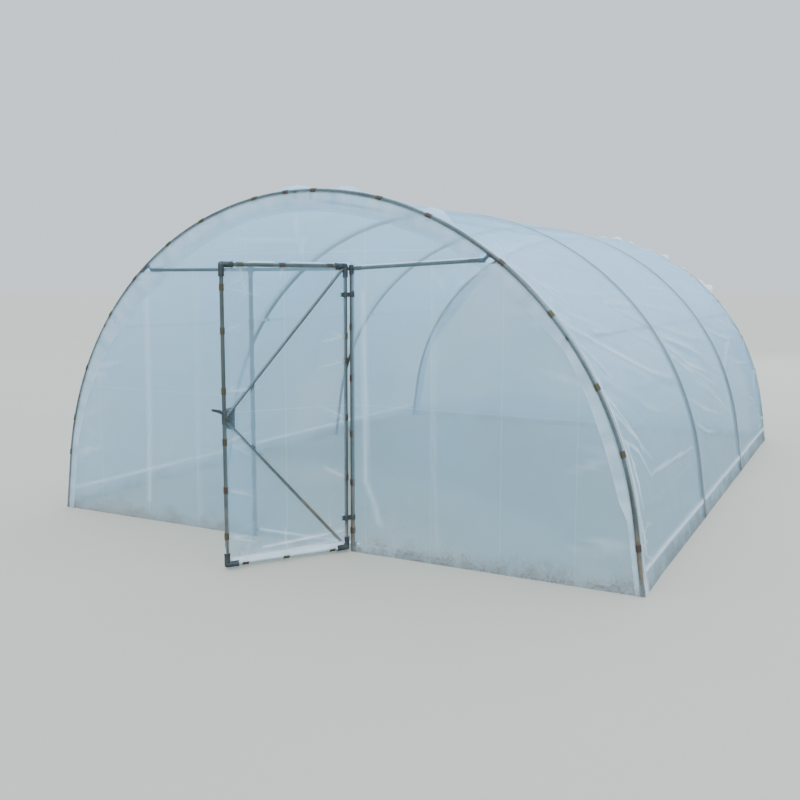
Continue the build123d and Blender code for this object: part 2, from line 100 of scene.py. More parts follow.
# Each corner of the leaf, with the way along its rail and up its stile
CORNERS = [
    (x, run_x, z, run_z)
    for x, run_x in ((-STILE_REACH, -1), (-FREE_REACH, 1)) for z, run_z in ((RAIL_LOW, 1), (RAIL_HIGH, -1))
]

# Clips, by their share of the hoop's length, by height on the leaf's stiles and by X on its rails
CLIP_SHARES = (
    0.0384, 0.1126, 0.1683, 0.2363, 0.2951, 0.3718, 0.4219, 0.4894, 0.5191,
    0.5543, 0.6193, 0.6663, 0.7226, 0.7727, 0.8401, 0.8989, 0.9373,
)
FREE_STILE_CLIPS = (0.238, 0.559, 0.890, 1.237, 1.642, 1.930)
HINGE_STILE_CLIPS = (0.560, 1.000, 1.411, 1.587)
RAIL_CLIPS = (-0.830, -0.528, -0.170)

# Where the film lies on a tube: the gable film first, the cover over it, both inside the clips
GABLE_ON_TUBE = 0.08 * MM
COVER_ON_TUBE = 0.20 * MM
LEAF_ON_TUBE = 0.15 * MM
SOIL_Z = 0.155
# The side that folds most ends at this angle of the arch
SIDE_TOP = 62


def linear(code):
    """A hex sRGB colour as linear red, green, blue."""
    parts = [int(code[i:i + 2], 16) / 255 for i in (1, 3, 5)]
    return tuple(c / 12.92 if c <= 0.04045 else ((c + 0.055) / 1.055) ** 2.4 for c in parts)


def colour_of(name, description, code):
    return FloatVectorProperty(name=name, description=description, subtype="COLOR", default=linear(code))


def length_of(name, description, metres):
    return FloatProperty(name=name, description=description, default=metres, unit="LENGTH")


def share_of(name, description, share):
    return FloatProperty(name=name, description=description, default=share, min=0.0, max=1.0)


def amount_of(name, description, amount):
    return FloatProperty(name=name, description=description, default=amount, min=0.0)


class FilmSettings(bpy.types.PropertyGroup):
    """Sizes and colours of the film."""

    tint: colour_of("Film tint", "Colour of the film bleached milky", "#aed8f2")
    side_tint: colour_of("Side tint", "Colour of the clearer film", "#8bacbe")
    # Painted shade: the shade tint darkens the hollows beside folds and the low sides of the cover
    shade_tint: colour_of("Shade tint", "Colour in the hollow beside a fold", "#4b6074")
    # The fold tint is partly doubled film and partly painted highlight
    fold_tint: colour_of("Fold tint", "Colour where the film is folded", "#f3f7fc")
    soil: colour_of("Soil", "Soil splashed on the film's foot", "#6b543f")
    veil: share_of("Veil", "Share of light that one layer stops", 0.44)
    # The crown's higher veil is partly bleaching and partly painted sky reflection: it draws the crown
    # milkier, lighter and bluer
    crown_veil: share_of("Crown veil", "Share of light stopped at the bleached crown", 0.84)
    sag: length_of("Sag", "How far the cover dips between hoops", 0.017)
    fold_rise: length_of("Fold height", "Height of a common fold", 0.006)
    crease_pitch: length_of("Packing crease pitch", "Distance between the creases of the folded roll", 0.52)
    step_fine: length_of("Fine mesh step", "Mesh step on the side that folds most", 0.0178)
    step_plain: length_of("Plain mesh step", "Mesh step elsewhere", 0.043)


class MetalSettings(bpy.types.PropertyGroup):
    """Colours and sizes of the tubes, fittings and bolts."""

    zinc: colour_of("Zinc", "Weathered zinc of the tubes", "#4d5453")
    zinc_dark: colour_of("Dark zinc", "Dull patches of the zinc", "#353b3a")
    # Painted light: this lighter zinc stands in for tubes that show bright
    zinc_lit: colour_of("New zinc", "Brighter zinc of the newer thin tubes", "#dfe4e6")
    fitting: colour_of("Fitting", "Cast and pressed fittings", "#3a4245")
    soil_stain: colour_of("Soil stain", "Brown splash near the ground", "#5b4d3a")
    bolt_across: length_of("Bolt head", "Width of a bolt head across its flats", 0.013)
    bolt_height: length_of("Bolt head height", "Height of a bolt head", 0.0053)


class ClipSettings(bpy.types.PropertyGroup):
    """Colours of the clips."""

    ochre: colour_of("Clip", "Aged clip plastic", "#332d0c")
    rust: colour_of("Clip shade", "Browner clips", "#301a0e")


class StageSettings(bpy.types.PropertyGroup):
    """Floor, lights and camera."""

    floor: colour_of("Floor", "Pale floor", "#aba090")
    sky: colour_of("Surround", "Soft light all round", "#dfe9f0")
    zenith: colour_of("Overhead", "Cooler soft light from above", "#bedef4")
    sky_light: amount_of("Surround light", "Strength of the light all round", 1.5)
    key_light: amount_of("Key light", "Strength of the soft key light", 3.3)
    rim_light: amount_of("Rim light", "Watts of the lamp behind", 900.0)
    lens: amount_of("Lens", "Focal length in millimetres", 40.754)


class TunnelSettings(bpy.types.PropertyGroup):
    """All settings of the tunnel."""

    film: PointerProperty(type=FilmSettings)
    metal: PointerProperty(type=MetalSettings)
    clips: PointerProperty(type=ClipSettings)
    stage: PointerProperty(type=StageSettings)


# Node helpers

SMOOTH = {"interpolation_type": "SMOOTHSTEP"}
NOISE = ("Vector", "Scale", "Detail", "Roughness")


def add_node(tree, kind, inputs=(), out=0, **settings):
    """A new node with its settings. Its inputs, by place or name, are values or other nodes' sockets."""
    made = tree.nodes.new("ShaderNode" + kind)
    for key, value in settings.items():
        setattr(made, key, value)
    for key, value in inputs.items() if isinstance(inputs, dict) else enumerate(inputs):
        if isinstance(value, bpy.types.NodeSocket):
            tree.links.new(value, made.inputs[key])
        else:
            made.inputs[key].default_value = value
    return made.outputs[out] if made.outputs else None


def new_material(name):
    """An empty node material, and what adds nodes to it."""
    material = bpy.data.materials.new(name)
    material.use_nodes = True
    material.node_tree.nodes.clear()
    return material, partial(add_node, material.node_tree)


def coated_surface(add, base, coats, grain, strength, depth, **values):
    """Closes a material: a base colour under coats, each laid on by its share, and bumps from a grain."""
    colour = (*base, 1.0)
    for share, coat in coats:
        colour = add("Mix", {"Factor": share, "A": colour, "B": (*coat, 1.0)}, "Result", data_type="RGBA")
    bump = add("Bump", {"Height": grain, "Strength": strength, "Distance": depth})
    shader = add("BsdfPrincipled", {"Base Color": colour, "Normal": bump, **values})
    add("OutputMaterial", {"Surface": shader})


# Materials


def crossbar_contact(add, spot):
    """Where the gable film lies on a crossbar and is clear, and the white crease above the right bar."""
    ahead = add("Math", (spot["Y"], FRONT_Y - 10 * MM), operation="LESS_THAN")
    clear = 0.0
    for post_x, sign, climb in BARS:
        out = add("Math", (spot["X"], sign, -abs(post_x)), operation="MULTIPLY_ADD")
        line = add("MapRange", (out, 0.0, BAR_RUN, BAR_Z, BAR_Z + climb))
        off = add("Math", (spot["Z"], line), operation="SUBTRACT")
        outside = add("Math", (out, 0.0), operation="GREATER_THAN")
        beside = add("Math", (outside, ahead), operation="MULTIPLY")
        # The film leaves the bar 11 to 15 mm from its line
        level = add("Math", (off,), operation="ABSOLUTE")
        on = add("MapRange", (level, 11 * MM, 15 * MM, 1.0, 0.0), **SMOOTH)
        on = add("Math", (on, beside), operation="MULTIPLY")
        # The bracket's end, which climbs on to the hoop
        end = add("Math", (add("MapRange", (out, 0.975, 0.99), **SMOOTH), beside), operation="MULTIPLY")
        height = add("Math", (add("Math", (off, 10 * MM), operation="SUBTRACT"),), operation="ABSOLUTE")
        bracket = add("MapRange", (height, 26 * MM, 40 * MM, 1.0, 0.0), **SMOOTH)
        bracket = add("Math", (bracket, end), operation="MULTIPLY")
        clear = add("Math", (clear, add("Math", (on, bracket), operation="MAXIMUM")), operation="MAXIMUM")
    # The right bar came last: a crease 17 mm above its line
    above = add("Math", (add("Math", (off, 17 * MM), operation="SUBTRACT"),), operation="ABSOLUTE")
    rim = add("MapRange", (above, 2 * MM, 6 * MM, 0.8, 0.0), **SMOOTH)
    rim = add("Math", (rim, add("Math", (beside, end), operation="SUBTRACT")), operation="MULTIPLY")
    return clear, rim


def polyethylene_film(settings):
    """Greenhouse polyethylene film, 0.2 mm, blown and folded on its roll: a milky bluish veil, glossy, with
    folds that show whiter, partly as doubled film and partly as painted highlight, hollows darkened with
    painted shade, faint straight packing creases and fine puckers."""
    material, add = new_material("polyethylene_film")
    flat = add("UVMap", uv_map="cut")
    veil = add("Attribute", out="Fac", attribute_name="veil")
    fold = add("Attribute", out="Fac", attribute_name="fold")
    place = add("TexCoord", out="Object")
    spot = add("SeparateXYZ", (place,)).node.outputs
    # Patterns by size in millimetres, detail and roughness. On the flat cut: how wide the packing creases
    # get, metre-wide haze, dust, the slow swell of blown film and its puckers. In place: the ragged upper
    # edge of the soil splash and its speckles. Real dust and speckles are finer than they are drawn here,
    # where they need to show.
    wander, cloud, dust, swell, pucker, splash_edge, speckle = (
        add("TexNoise", dict(zip(NOISE, (vector, 1 / (size * MM), detail, rough))), "Fac")
        for vector, size, detail, rough in (
            (flat, 333.33, 2.0, 0.5), (flat, 1111.1, 3.0, 0.5), (flat, 62.5, 4.0, 0.6),
            (flat, 222.22, 2.0, 0.45), (flat, 38.462, 2.0, 0.5),
            (place, 200.0, 5.0, 0.65), (place, 18.182, 3.0, 0.7),
        )
    )

    # Packing creases, 3 to 9 mm wide, a pitch apart
    width = add("Math", (wander, 6 * MM, 3 * MM), operation="MULTIPLY_ADD")
    split = add("SeparateXYZ", (flat,)).node.outputs
    creases = []
    for axis, pitch in (("X", settings.crease_pitch / 2), ("Y", settings.crease_pitch * 1.05)):
        near = add("Math", (split[axis], pitch), operation="PINGPONG")
        creases.append(add("MapRange", (near, 0.0, width, 1.0, 0.0), **SMOOTH))
    crease = add("Math", creases, operation="MAXIMUM")

    # Folds are whiter and stop more light, partly as doubled film and partly as painted highlight; hollows
    # are darkened with painted shade
    white = add("Math", (fold, 0.0), operation="MAXIMUM")
    shade = add("Math", (add("Math", (fold, -1.0), operation="MULTIPLY"), 0.0), operation="MAXIMUM")
    alpha = veil
    for pattern, high, most in ((cloud, 0.7, 0.10), (dust, 0.8, 0.004)):
        uneven = add("MapRange", (pattern, 0.3, high, -most, most), **SMOOTH)
        alpha = add("Math", (alpha, uneven), operation="ADD")
    for source, strength in ((crease, 0.03), (white, 0.45), (shade, 0.30)):
        alpha = add("Math", (source, strength, alpha), operation="MULTIPLY_ADD")
    alpha = add("Math", (alpha, 0.0), operation="ADD", use_clamp=True)
    whiten = add("Math", (crease, 0.16, white), operation="MULTIPLY_ADD", use_clamp=True)

    clear, rim = crossbar_contact(add, spot)
    dull = add("Math", (1.0, clear), operation="SUBTRACT")
    whiten = add("Math", (add("Math", (whiten, dull), operation="MULTIPLY"), rim), operation="MAXIMUM")
    alpha = add("Math", (alpha, add("MapRange", (clear, 0.0, 1.0, 1.0, 0.22))), operation="MULTIPLY")
    alpha = add("Math", (alpha, add("Math", (rim, 0.7), operation="MULTIPLY")), operation="MAXIMUM")

    # Soil splashed up the foot, ragged and speckled, not on the folds
    edge = add("MapRange", (splash_edge, 0.25, 0.75, -0.07, 0.07), **SMOOTH)
    splash = add("Math", (spot["Z"], edge), operation="ADD")
    dirt = add("MapRange", (splash, 0.0, 0.16, 0.9, 0.0), **SMOOTH)
    for share in (
        add("MapRange", (speckle, 0.42, 0.66, 0.5, 1.0), **SMOOTH),
        add("Math", (1.0, white), operation="SUBTRACT", use_clamp=True),
    ):
        dirt = add("Math", (dirt, share), operation="MULTIPLY")
    alpha = add("Math", (alpha, dirt), operation="MAXIMUM")

    milky = add("MapRange", (veil, 0.30, 0.80), **SMOOTH)
    # Painted shade: the hollows and the low sides are mixed towards the shade tint
    shaded = add("Math", (shade, 0.82), operation="MULTIPLY")
    colour = (*settings.side_tint, 1.0)
    for share, coat in (
        (milky, settings.tint), (shaded, settings.shade_tint),
        (whiten, settings.fold_tint), (dirt, settings.soil),
    ):
        colour = add("Mix", {"Factor": share, "A": colour, "B": (*coat, 1.0)}, "Result", data_type="RGBA")
    relief = add("Math", (pucker, 0.03, swell), operation="MULTIPLY_ADD")
    bump = add("Bump", {"Height": relief, "Strength": 0.5, "Distance": 14 * MM})
    gloss = add("MapRange", (dust, 0.3, 0.8, 0.28, 0.34), **SMOOTH)
    gloss = add("Math", (dirt, 0.5, gloss), operation="MULTIPLY_ADD", use_clamp=True)
    shader = add("BsdfPrincipled", {
        "Base Color": colour, "Alpha": alpha, "Roughness": gloss, "IOR": 1.51, "Specular IOR Level": 0.9,
        "Normal": bump,
    })
    glow = add("BsdfTranslucent", {"Color": colour, "Normal": bump})
    lit_through = add("Math", (alpha, 0.62), operation="MULTIPLY")
    add("OutputMaterial", {"Surface": add("MixShader", (lit_through, shader, glow))})
    return material


def zinc_tube(name, bright, dull, stain, stained, metallic):
    """Hot-dip galvanised steel tube: dull grey with faint 7 mm spangle, darker cloudy patches and brown soil
    splash near the ground. Its lighter, evener copy with less soil is painted light, for tubes that show
    bright."""
    material, add = new_material(name)
    place = add("TexCoord", out="Object")
    height = add("SeparateXYZ", (place,), "Z")
    # Zinc crystals of 7 mm. By size in millimetres, detail and roughness: dull patches, the dipped skin's
    # flecks, drawn coarser than the real ones so that they show, and the ragged edge of the splash
    spangle = add("TexVoronoi", {"Vector": place, "Scale": 1 / (7 * MM), "Randomness": 1.0}, "Color")
    patches, fleck, splash_edge = (
        add("TexNoise", dict(zip(NOISE, (place, 1 / (size * MM), detail, rough))), "Fac")
        for size, detail, rough in ((166.67, 4.0, 0.6), (11.111, 3.0, 0.6), (111.11, 3.0, 0.5))
    )
    tone = add("MapRange", (patches, 0.3, 0.7, 0.1, 0.6), **SMOOTH)
    tone = add("Math", (add("SeparateColor", (spangle,), "Red"), 0.25, tone), operation="MULTIPLY_ADD")
    edge = add("MapRange", (splash_edge, 0.2, 0.8, -0.35, 0.35), **SMOOTH)
    splash = add("Math", (height, edge), operation="ADD")
    splash = add("MapRange", (splash, 0.05, 0.55, stained, 0.0), **SMOOTH)
    coated_surface(
        add, bright, ((tone, dull), (splash, stain)), fleck, 0.25, 0.4 * MM,
        Roughness=add("MapRange", (patches, 0.3, 0.7, 0.38, 0.58), **SMOOTH),
        Metallic=add("MapRange", (splash, 0.0, 0.8, metallic, 0.10), **SMOOTH),
    )
    return material


def cast_fitting(settings):
    """Malleable iron and pressed steel fittings, galvanised and gone dull: darker and rougher than the tubes,
    with a pebbly casting skin and brighter worn flecks."""
    material, add = new_material("cast_fitting")
    place = add("TexCoord", out="Object")
    # By size in millimetres, detail and roughness: dull patches, the sand's grain in the casting, drawn
    # coarser than the real one, and worn flecks
    patches, skin, wear = (
        add("TexNoise", dict(zip(NOISE, (place, 1 / (size * MM), detail, rough))), "Fac")
        for size, detail, rough in ((45.455, 4.0, 0.6), (2.38095, 3.0, 0.6), (13.333, 4.0, 0.65))
    )
    patched = add("MapRange", (patches, 0.3, 0.7), **SMOOTH)
    worn = add("MapRange", (wear, 0.58, 0.72, 0.0, 0.4), **SMOOTH)
    dull, bare = linear("#262c2e"), linear("#6d7678")
    coated_surface(
        add, settings.fitting, ((patched, dull), (worn, bare)), skin, 0.4, 0.5 * MM,
        Roughness=add("MapRange", (patches, 0.3, 0.7, 0.42, 0.62), **SMOOTH), Metallic=0.40,
    )
    return material


def clip_polymer(settings):
    """Extruded polyethylene hose cut into clips, aged in the sun: ochre to rusty brown from clip to clip, and
    chalky."""
    material, add = new_material("clip_polymer")
    place = add("TexCoord", out="Object")
    # By size in millimetres, detail and roughness: wider than a clip, so that each has one tone, and the
    # chalk, drawn coarser than it is so that it shows
    lot, chalk = (
        add("TexNoise", dict(zip(NOISE, (place, 1 / (size * MM), detail, rough))), "Fac")
        for size, detail, rough in ((312.5, 1.0, 0.4), (16.667, 4.0, 0.6))
    )
    browner = add("MapRange", (lot, 0.42, 0.58), **SMOOTH)
    chalky = add("MapRange", (chalk, 0.5, 0.75, 0.0, 0.2), **SMOOTH)
    coats = ((browner, settings.rust), (chalky, linear("#514b31")))
    coated_surface(add, settings.ochre, coats, chalk, 0.3, 0.6 * MM, Roughness=0.62, IOR=1.51)
    return material


def studio_floor(settings):
    """Smooth matt studio floor, with very faint mottling nearly 3 m wide, so that it isn't one flat tone."""
    material, add = new_material("studio_floor")
    place = add("TexCoord", out="Object")
    mottling = add("TexNoise", dict(zip(NOISE, (place, 1 / (2857.1 * MM), 4.0, 0.5))), "Fac")
    ends = {"A": (*settings.floor, 1.0), "B": (*(0.93 * c for c in settings.floor), 1.0)}
    colour = add("Mix", {"Factor": mottling, **ends}, "Result", data_type="RGBA")
    add("OutputMaterial", {"Surface": add("BsdfPrincipled", {"Base Color": colour, "Roughness": 0.85})})
    return material


@cache
def finish(name):
    """The named material, made once from the scene's settings."""
    tunnel = bpy.context.scene.tunnel
    metal = tunnel.metal
    if name == "film":
        return polyethylene_film(tunnel.film)
    if name == "tube":
        return zinc_tube("zinc_tube", metal.zinc, metal.zinc_dark, metal.soil_stain, 0.75, 0.45)
    # Painted light: a lighter, evener copy of the zinc for tubes that show bright
    if name == "lit_tube":
        dull = tuple(0.86 * c for c in metal.zinc_lit)
        return zinc_tube("new_zinc_tube", metal.zinc_lit, dull, metal.soil_stain, 0.08, 0.12)
    if name == "fitting":
        return cast_fitting(metal)
    return clip_polymer(tunnel.clips) if name == "clip" else studio_floor(tunnel.stage)


def dress(piece, name):
    """Gives a piece one material in all its slots."""
    piece.data.materials.clear()
    piece.data.materials.append(finish(name))


# Lines of the frame


def arch(s):
    """X, Z and outward direction of the hoop's axis at distances from the right foot, as arrays."""
    s = np.asarray(s, float)
    turn = SPLAY + np.clip(s - LEG, 0, ARC) / ARC_R
    nx, nz = np.cos(turn), np.sin(turn)
    before = np.clip(LEG - s, 0, None)
    after = np.clip(s - LEG - ARC, 0, None)
    x = ARC_R * nx + before * sin(SPLAY) - after * sin(SPLAY)
    z = ARC_Z + ARC_R * nz - (before + after) * cos(SPLAY)
    return x, z, nx, nz


def turn_at(s):
    """Angle of the arch in degrees at a distance from the right foot."""
    return np.degrees(SPLAY + np.clip(np.asarray(s, float) - LEG, 0, ARC) / ARC_R)


def girth_at(angle):
    """Distance from the right foot of an angle in degrees on the arch."""
    return LEG + (radians(angle) - SPLAY) * ARC_R


def swing(points):
    """Points of the shut leaf, X from the hinge axis, turned to where the leaf stands open."""
    points = np.asarray(points, float)
    x, y, z = points[..., 0], points[..., 1], points[..., 2]
    turned_x = HINGE_X + x * cos(OPEN_ANGLE) - y * sin(OPEN_ANGLE)
    turned_y = FRONT_Y + x * sin(OPEN_ANGLE) + y * cos(OPEN_ANGLE)
    return np.stack([turned_x, turned_y, z], axis=-1)


# Sheets


def bell(distance, width, power=2):
    """1 at no distance and fading to nothing past the width."""
    return np.exp(-((distance / width) ** power))


def ramp(value, start, width):
    """0 up to the start, then rising to 1 over the width."""
    return np.clip((value - start) / width, 0, 1)


def mean_step(values):
    return float(np.diff(values).mean()) if len(values) > 1 else 0.0


def from_line(a, b, points):
    """How far a grid of places lies from a line of points, and at which share of the line's length."""
    gap, share, done = 1e9, 0.0, 0.0
    lengths = np.linalg.norm(np.diff(points, axis=0), axis=1)
    for (pa, pb), (qa, qb), length in zip(points[:-1], points[1:], lengths):
        da, db = (qa - pa) / length, (qb - pb) / length
        t = np.clip((a - pa) * da + (b - pb) * db, 0, length)
        here = np.hypot(a - pa - t * da, b - pb - t * db)
        share = np.where(here < gap, (done + t) / lengths.sum(), share)
        gap = np.minimum(here, gap)
        done += length
    return gap, share


def over(fold, white):
    """Whitening laid over folds and hollows; it wins where it is strong."""
    return np.where(white > fold, fold + (white - fold) * np.clip(white / 0.25, 0, 1), fold)


class Relief:
    """Heights and whitening of a sheet on a grid of two distances, to which folds are added."""

    def __init__(self, across, along):
        self.across = np.asarray(across, float)
        self.along = np.asarray(along, float)
        self.height = np.zeros((len(self.across), len(self.along)))
        self.fold = np.zeros_like(self.height)

    def add_fold(self, points, width, rise, white=0.5, start=0.0, end=0.0):
        """A fold along a line of points. start and end are its strength at its ends, 1 at its middle.
        A white below 0 makes a hollow, darkened with painted shade."""
        points = np.asarray(points, float)
        reach = 3.2 * width
        low, high = points.min(axis=0) - reach, points.max(axis=0) + reach
        rows = slice(*np.searchsorted(self.across, (low[0], high[0])))
        columns = slice(*np.searchsorted(self.along, (low[1], high[1])))
        a, b = self.across[rows, None], self.along[None, columns]
        if not a.size or not b.size:
            return
        gap, share = from_line(a, b, points)
        levels = (start, max(start, 0.8), 1, max(end, 0.55), end)
        strength = np.interp(share, (0, 0.12, 0.5, 0.85, 1), levels)
        # A crest with a shallow dip on both sides
        shape = 1.35 * bell(gap, width) - 0.35 * bell(gap, 2 * width)
        self.height[rows, columns] += rise * strength * shape
        # Its white crest is flat on top, and no finer than the mesh across it
        run = np.abs(points[-1] - points[0]) / np.linalg.norm(points[-1] - points[0])
        narrow = max(0.55 * width, 0.66 * (run[1] * mean_step(a[:, 0]) + run[0] * mean_step(b[0])))
        crest = np.maximum(np.minimum(1.45 * bell(gap, narrow), 1.0), 0.34 * bell(gap, 1.7 * width))
        here = self.fold[rows, columns]
        tone = white * strength * crest
        if white > 0:
            self.fold[rows, columns] = over(here, tone)
        else:
            self.fold[rows, columns] = np.maximum(here + tone * np.clip(1 - 1.3 * here, 0, 1), -1.0)

    def add_swell(self, rng, rise, shortest, longest, count=14, squeeze=1.0):
        """Soft uneven swelling made of a few waves of random direction."""
        total = np.zeros_like(self.height)
        for _ in range(count):
            length, heading, phase = (
                rng.uniform(*ends) for ends in ((shortest, longest), (0, pi), (0, 2 * pi))
            )
            across = self.across[:, None] * cos(heading)
            along = self.along[None, :] * squeeze * sin(heading)
            total += np.sin((across + along) * 2 * pi / length + phase)
        self.height += rise * total / sqrt(count)


def strip_steps(low, high, step, keep=()):
    """Evenly spaced values from low to high, with the kept ones among them."""
    values = np.linspace(low, high, max(2, int(ceil((high - low) / step)) + 1))
    for k in keep:
        values[np.argmin(abs(values - k))] = k
    return np.unique(values)


def joined(*grids, axis=1):
    return np.concatenate(grids, axis=axis)


def sheet_mesh(name, points, cut, veil, fold, drop=None):
    """A mesh piece from a grid of points with its flat cut as UV, and the veil and fold of each point."""
    rows, columns = points.shape[:2]
    index = np.arange(rows * columns).reshape(rows, columns)
    corners = (index[:-1, :-1], index[:-1, 1:], index[1:, 1:], index[1:, :-1])
    faces = np.stack(corners, axis=-1).reshape(-1, 4)
    # Each half splits its quads along its own folds, which keeps their edges smooth
    near_half = faces[:, 0] < rows // 2 * columns
    faces[near_half] = np.roll(faces[near_half], 1, axis=1)
    if drop is not None:
        faces = faces[~drop.reshape(-1)]
    used, faces = np.unique(faces, return_inverse=True)
    mesh = bpy.data.meshes.new(name)
    mesh.from_pydata(points.reshape(-1, 3)[used].tolist(), [], faces.reshape(-1, 4).tolist())
    mesh.update()
    loops = np.empty(len(mesh.loops), dtype=np.int32)
    mesh.loops.foreach_get("vertex_index", loops)
    flat = cut.reshape(-1, 2)[used][loops]
    mesh.uv_layers.new(name="cut").data.foreach_set("uv", flat.astype(np.float32).reshape(-1))
    for label, values in (("veil", veil), ("fold", fold)):
        layer = mesh.attributes.new(label, "FLOAT", "POINT")
        layer.data.foreach_set("value", values.reshape(-1)[used].astype(np.float32))
    mesh.shade_smooth()
    piece = bpy.data.objects.new(name, mesh)
    bpy.context.scene.collection.objects.link(piece)
    dress(piece, "film")
    return piece


def face_middles(points):
    """X and Z of the middle of each face of a grid."""
    middle = (points[:-1, :-1] + points[1:, 1:]) / 2
    return middle[..., 0], middle[..., 2]


# Cover film

# Width of the tail that the cover lays on the gable, by the angle of the arch
TAIL_ANGLES = (7.8, 11, 16, 22, 30, 35, 41, 45, 51, 60, 70, 80, 91, 102, 115, 127, 138, 150, 159, 168, 172.2)
TAIL_WIDTHS = (
    0.045, 0.083, 0.095, 0.093, 0.079, 0.063, 0.094, 0.106, 0.112, 0.12, 0.147,
    0.149, 0.144, 0.15, 0.184, 0.197, 0.176, 0.134, 0.109, 0.09, 0.085,
)

# Long folds of the right side, each as angles of the arch and distances behind the front hoop, width, height
# and whitening; the whitening is partly doubled film and partly painted highlight, and below 0 it paints
# shade into a hollow
LONG_FOLDS = (
    (((38.3, 0.07), (33.4, 0.69), (27.5, 1.49), (24.5, 2.1)), 0.034, 0.012, 0.9),
    (((33.5, 2.40), (29.9, 3.3), (26.7, 3.77)), 0.040, 0.011, 0.85),
    (((31.2, 2.38), (26.5, 2.93), (22.5, 3.75)), 0.040, 0.012, 0.9),
    (((29.0, 2.37), (25.3, 2.82), (22.1, 3.3)), 0.034, 0.010, 0.85),
    (((36.5, 2.42), (34.0, 3.1), (30.5, 4.1)), 0.045, 0.008, 0.35),
    (((42.0, 2.40), (40.5, 3.2), (38.0, 4.2)), 0.050, 0.007, 0.3),
    (((47.0, 0.06), (45.0, 0.9), (44.0, 2.0)), 0.050, 0.005, 0.2),
    (((56.0, 0.10), (54.5, 1.0), (53.5, 2.1)), 0.060, 0.005, 0.2),
    (((26.5, 0.04), (21.0, 0.3), (15.4, 0.52)), 0.024, 0.010, 0.9),
    (((24.1, 0.03), (18.2, 0.42), (13.5, 0.72)), 0.026, 0.009, 0.7),
    (((19.8, 0.02), (16.9, 0.35), (11.3, 0.56)), 0.024, 0.009, 0.8),
    (((24.4, 0.52), (20.3, 0.78), (15.8, 1.09)), 0.045, -0.010, 0.0),
    (((12.4, 0.54), (12.0, 1.3), (11.2, 2.2)), 0.020, 0.006, 0.7),
    (((18.5, 0.10), (10.5, 0.16), (7.9, 0.20)), 0.028, 0.010, 0.9),
    (((27.0, 0.25), (22.5, 0.9), (19.5, 1.5)), 0.034, 0.007, 0.4),
    (((30.0, 0.8), (26.5, 1.5), (24.0, 2.15)), 0.040, 0.006, 0.3),
    (((17.5, 0.035), (10.0, 0.055), (5.0, 0.05)), 0.030, 0.016, 0.95),
    (((7.9, 0.05), (4.0, 0.10), (2.5, 0.12)), 0.030, 0.018, 0.8),
    (((96.5, 0.08), (92.0, 0.09), (88.5, 0.08)), 0.030, 0.050, 0.9),
    (((111.0, 0.07), (107.0, 0.08)), 0.028, 0.042, 0.9),
    (((68.0, 0.07), (62.5, 0.08)), 0.028, 0.058, 0.9),
    (((85.0, 0.07), (79.5, 0.08)), 0.026, 0.046, 0.9),
    (((53.0, 0.05), (47.0, 0.22), (42.0, 0.5)), 0.030, 0.009, 0.5),
    (((35.5, 0.05), (31.0, 0.25), (25.0, 0.55)), 0.026, 0.010, 0.6),
    (((22.0, 4.6), (26.0, 5.2), (28.5, 5.9)), 0.040, 0.008, 0.4),
    (((33.0, 4.6), (30.0, 5.4), (28.0, 6.2)), 0.040, 0.009, 0.45),
    (((20.0, 2.35), (16.5, 2.9), (13.0, 3.7)), 0.034, 0.008, 0.5),
    (((15.0, 2.35), (12.0, 2.8), (10.0, 3.4)), 0.030, 0.007, 0.5),
    (((36.0, 0.45), (30.6, 1.05), (25.4, 1.6), (23.0, 2.1)), 0.060, -0.010, -1.5),
    (((32.6, 2.45), (28.9, 3.0), (25.0, 3.7)), 0.036, -0.009, -1.7),
    (((30.1, 2.5), (26.0, 2.95), (22.9, 3.5)), 0.034, -0.009, -1.7),
    (((27.4, 2.5), (23.5, 3.1), (20.5, 3.8)), 0.044, -0.007, -1.3),
    (((24.0, 0.18), (18.6, 0.46), (14.6, 0.74)), 0.030, -0.008, -1.3),
    (((22.0, 0.09), (17.0, 0.24), (13.0, 0.36)), 0.026, -0.007, -1.2),
    (((29.5, 0.30), (24.5, 0.62), (21.0, 0.95)), 0.040, -0.007, -1.0),
    (((34.5, 4.7), (31.2, 5.4), (29.0, 6.1)), 0.040, -0.007, -1.1),
)

# Mesh rows of the foot in metres, and those round the crease at the soil as shares of the crease's height
FOOT_ROWS = np.array([0.0, 0.03, 0.06, 0.09])
HEM_ROWS = np.array([0.72, 0.81, 0.87, 0.92, 0.96, 1.0, 1.04, 1.08, 1.13, 1.19, 1.28])

# Flaps of the cover that stand up behind the rear hoop: angle of the arch, spread in degrees, height
REAR_FLAPS = (
    (82.0, 1.2, 0.020), (77.5, 1.6, 0.040), (73.0, 1.0, 0.026), (66.5, 0.9, 0.018), (61.5, 1.2, 0.034),
    (55.0, 0.8, 0.016), (48.5, 1.0, 0.028), (45.5, 1.3, 0.052), (38.0, 1.0, 0.014), (98.0, 2.0, 0.030),
    (108.0, 1.4, 0.022), (124.0, 1.8, 0.036), (139.0, 1.4, 0.026),
)

# Mesh columns stand closer up to here, and at fixed distances in millimetres beside each hoop
NEAR_END = 1.1
NEAR_STEP = 0.0155
FAR_STEP = 0.0248
BESIDE_HOOP = (-22, -14, -8, 8, 14, 22)

# Angles at which the cover's edge is bent round an end hoop, and rows of the tail beyond
WRAP = (75, 55, 35, 15, 0)
TAIL_ROWS = 7


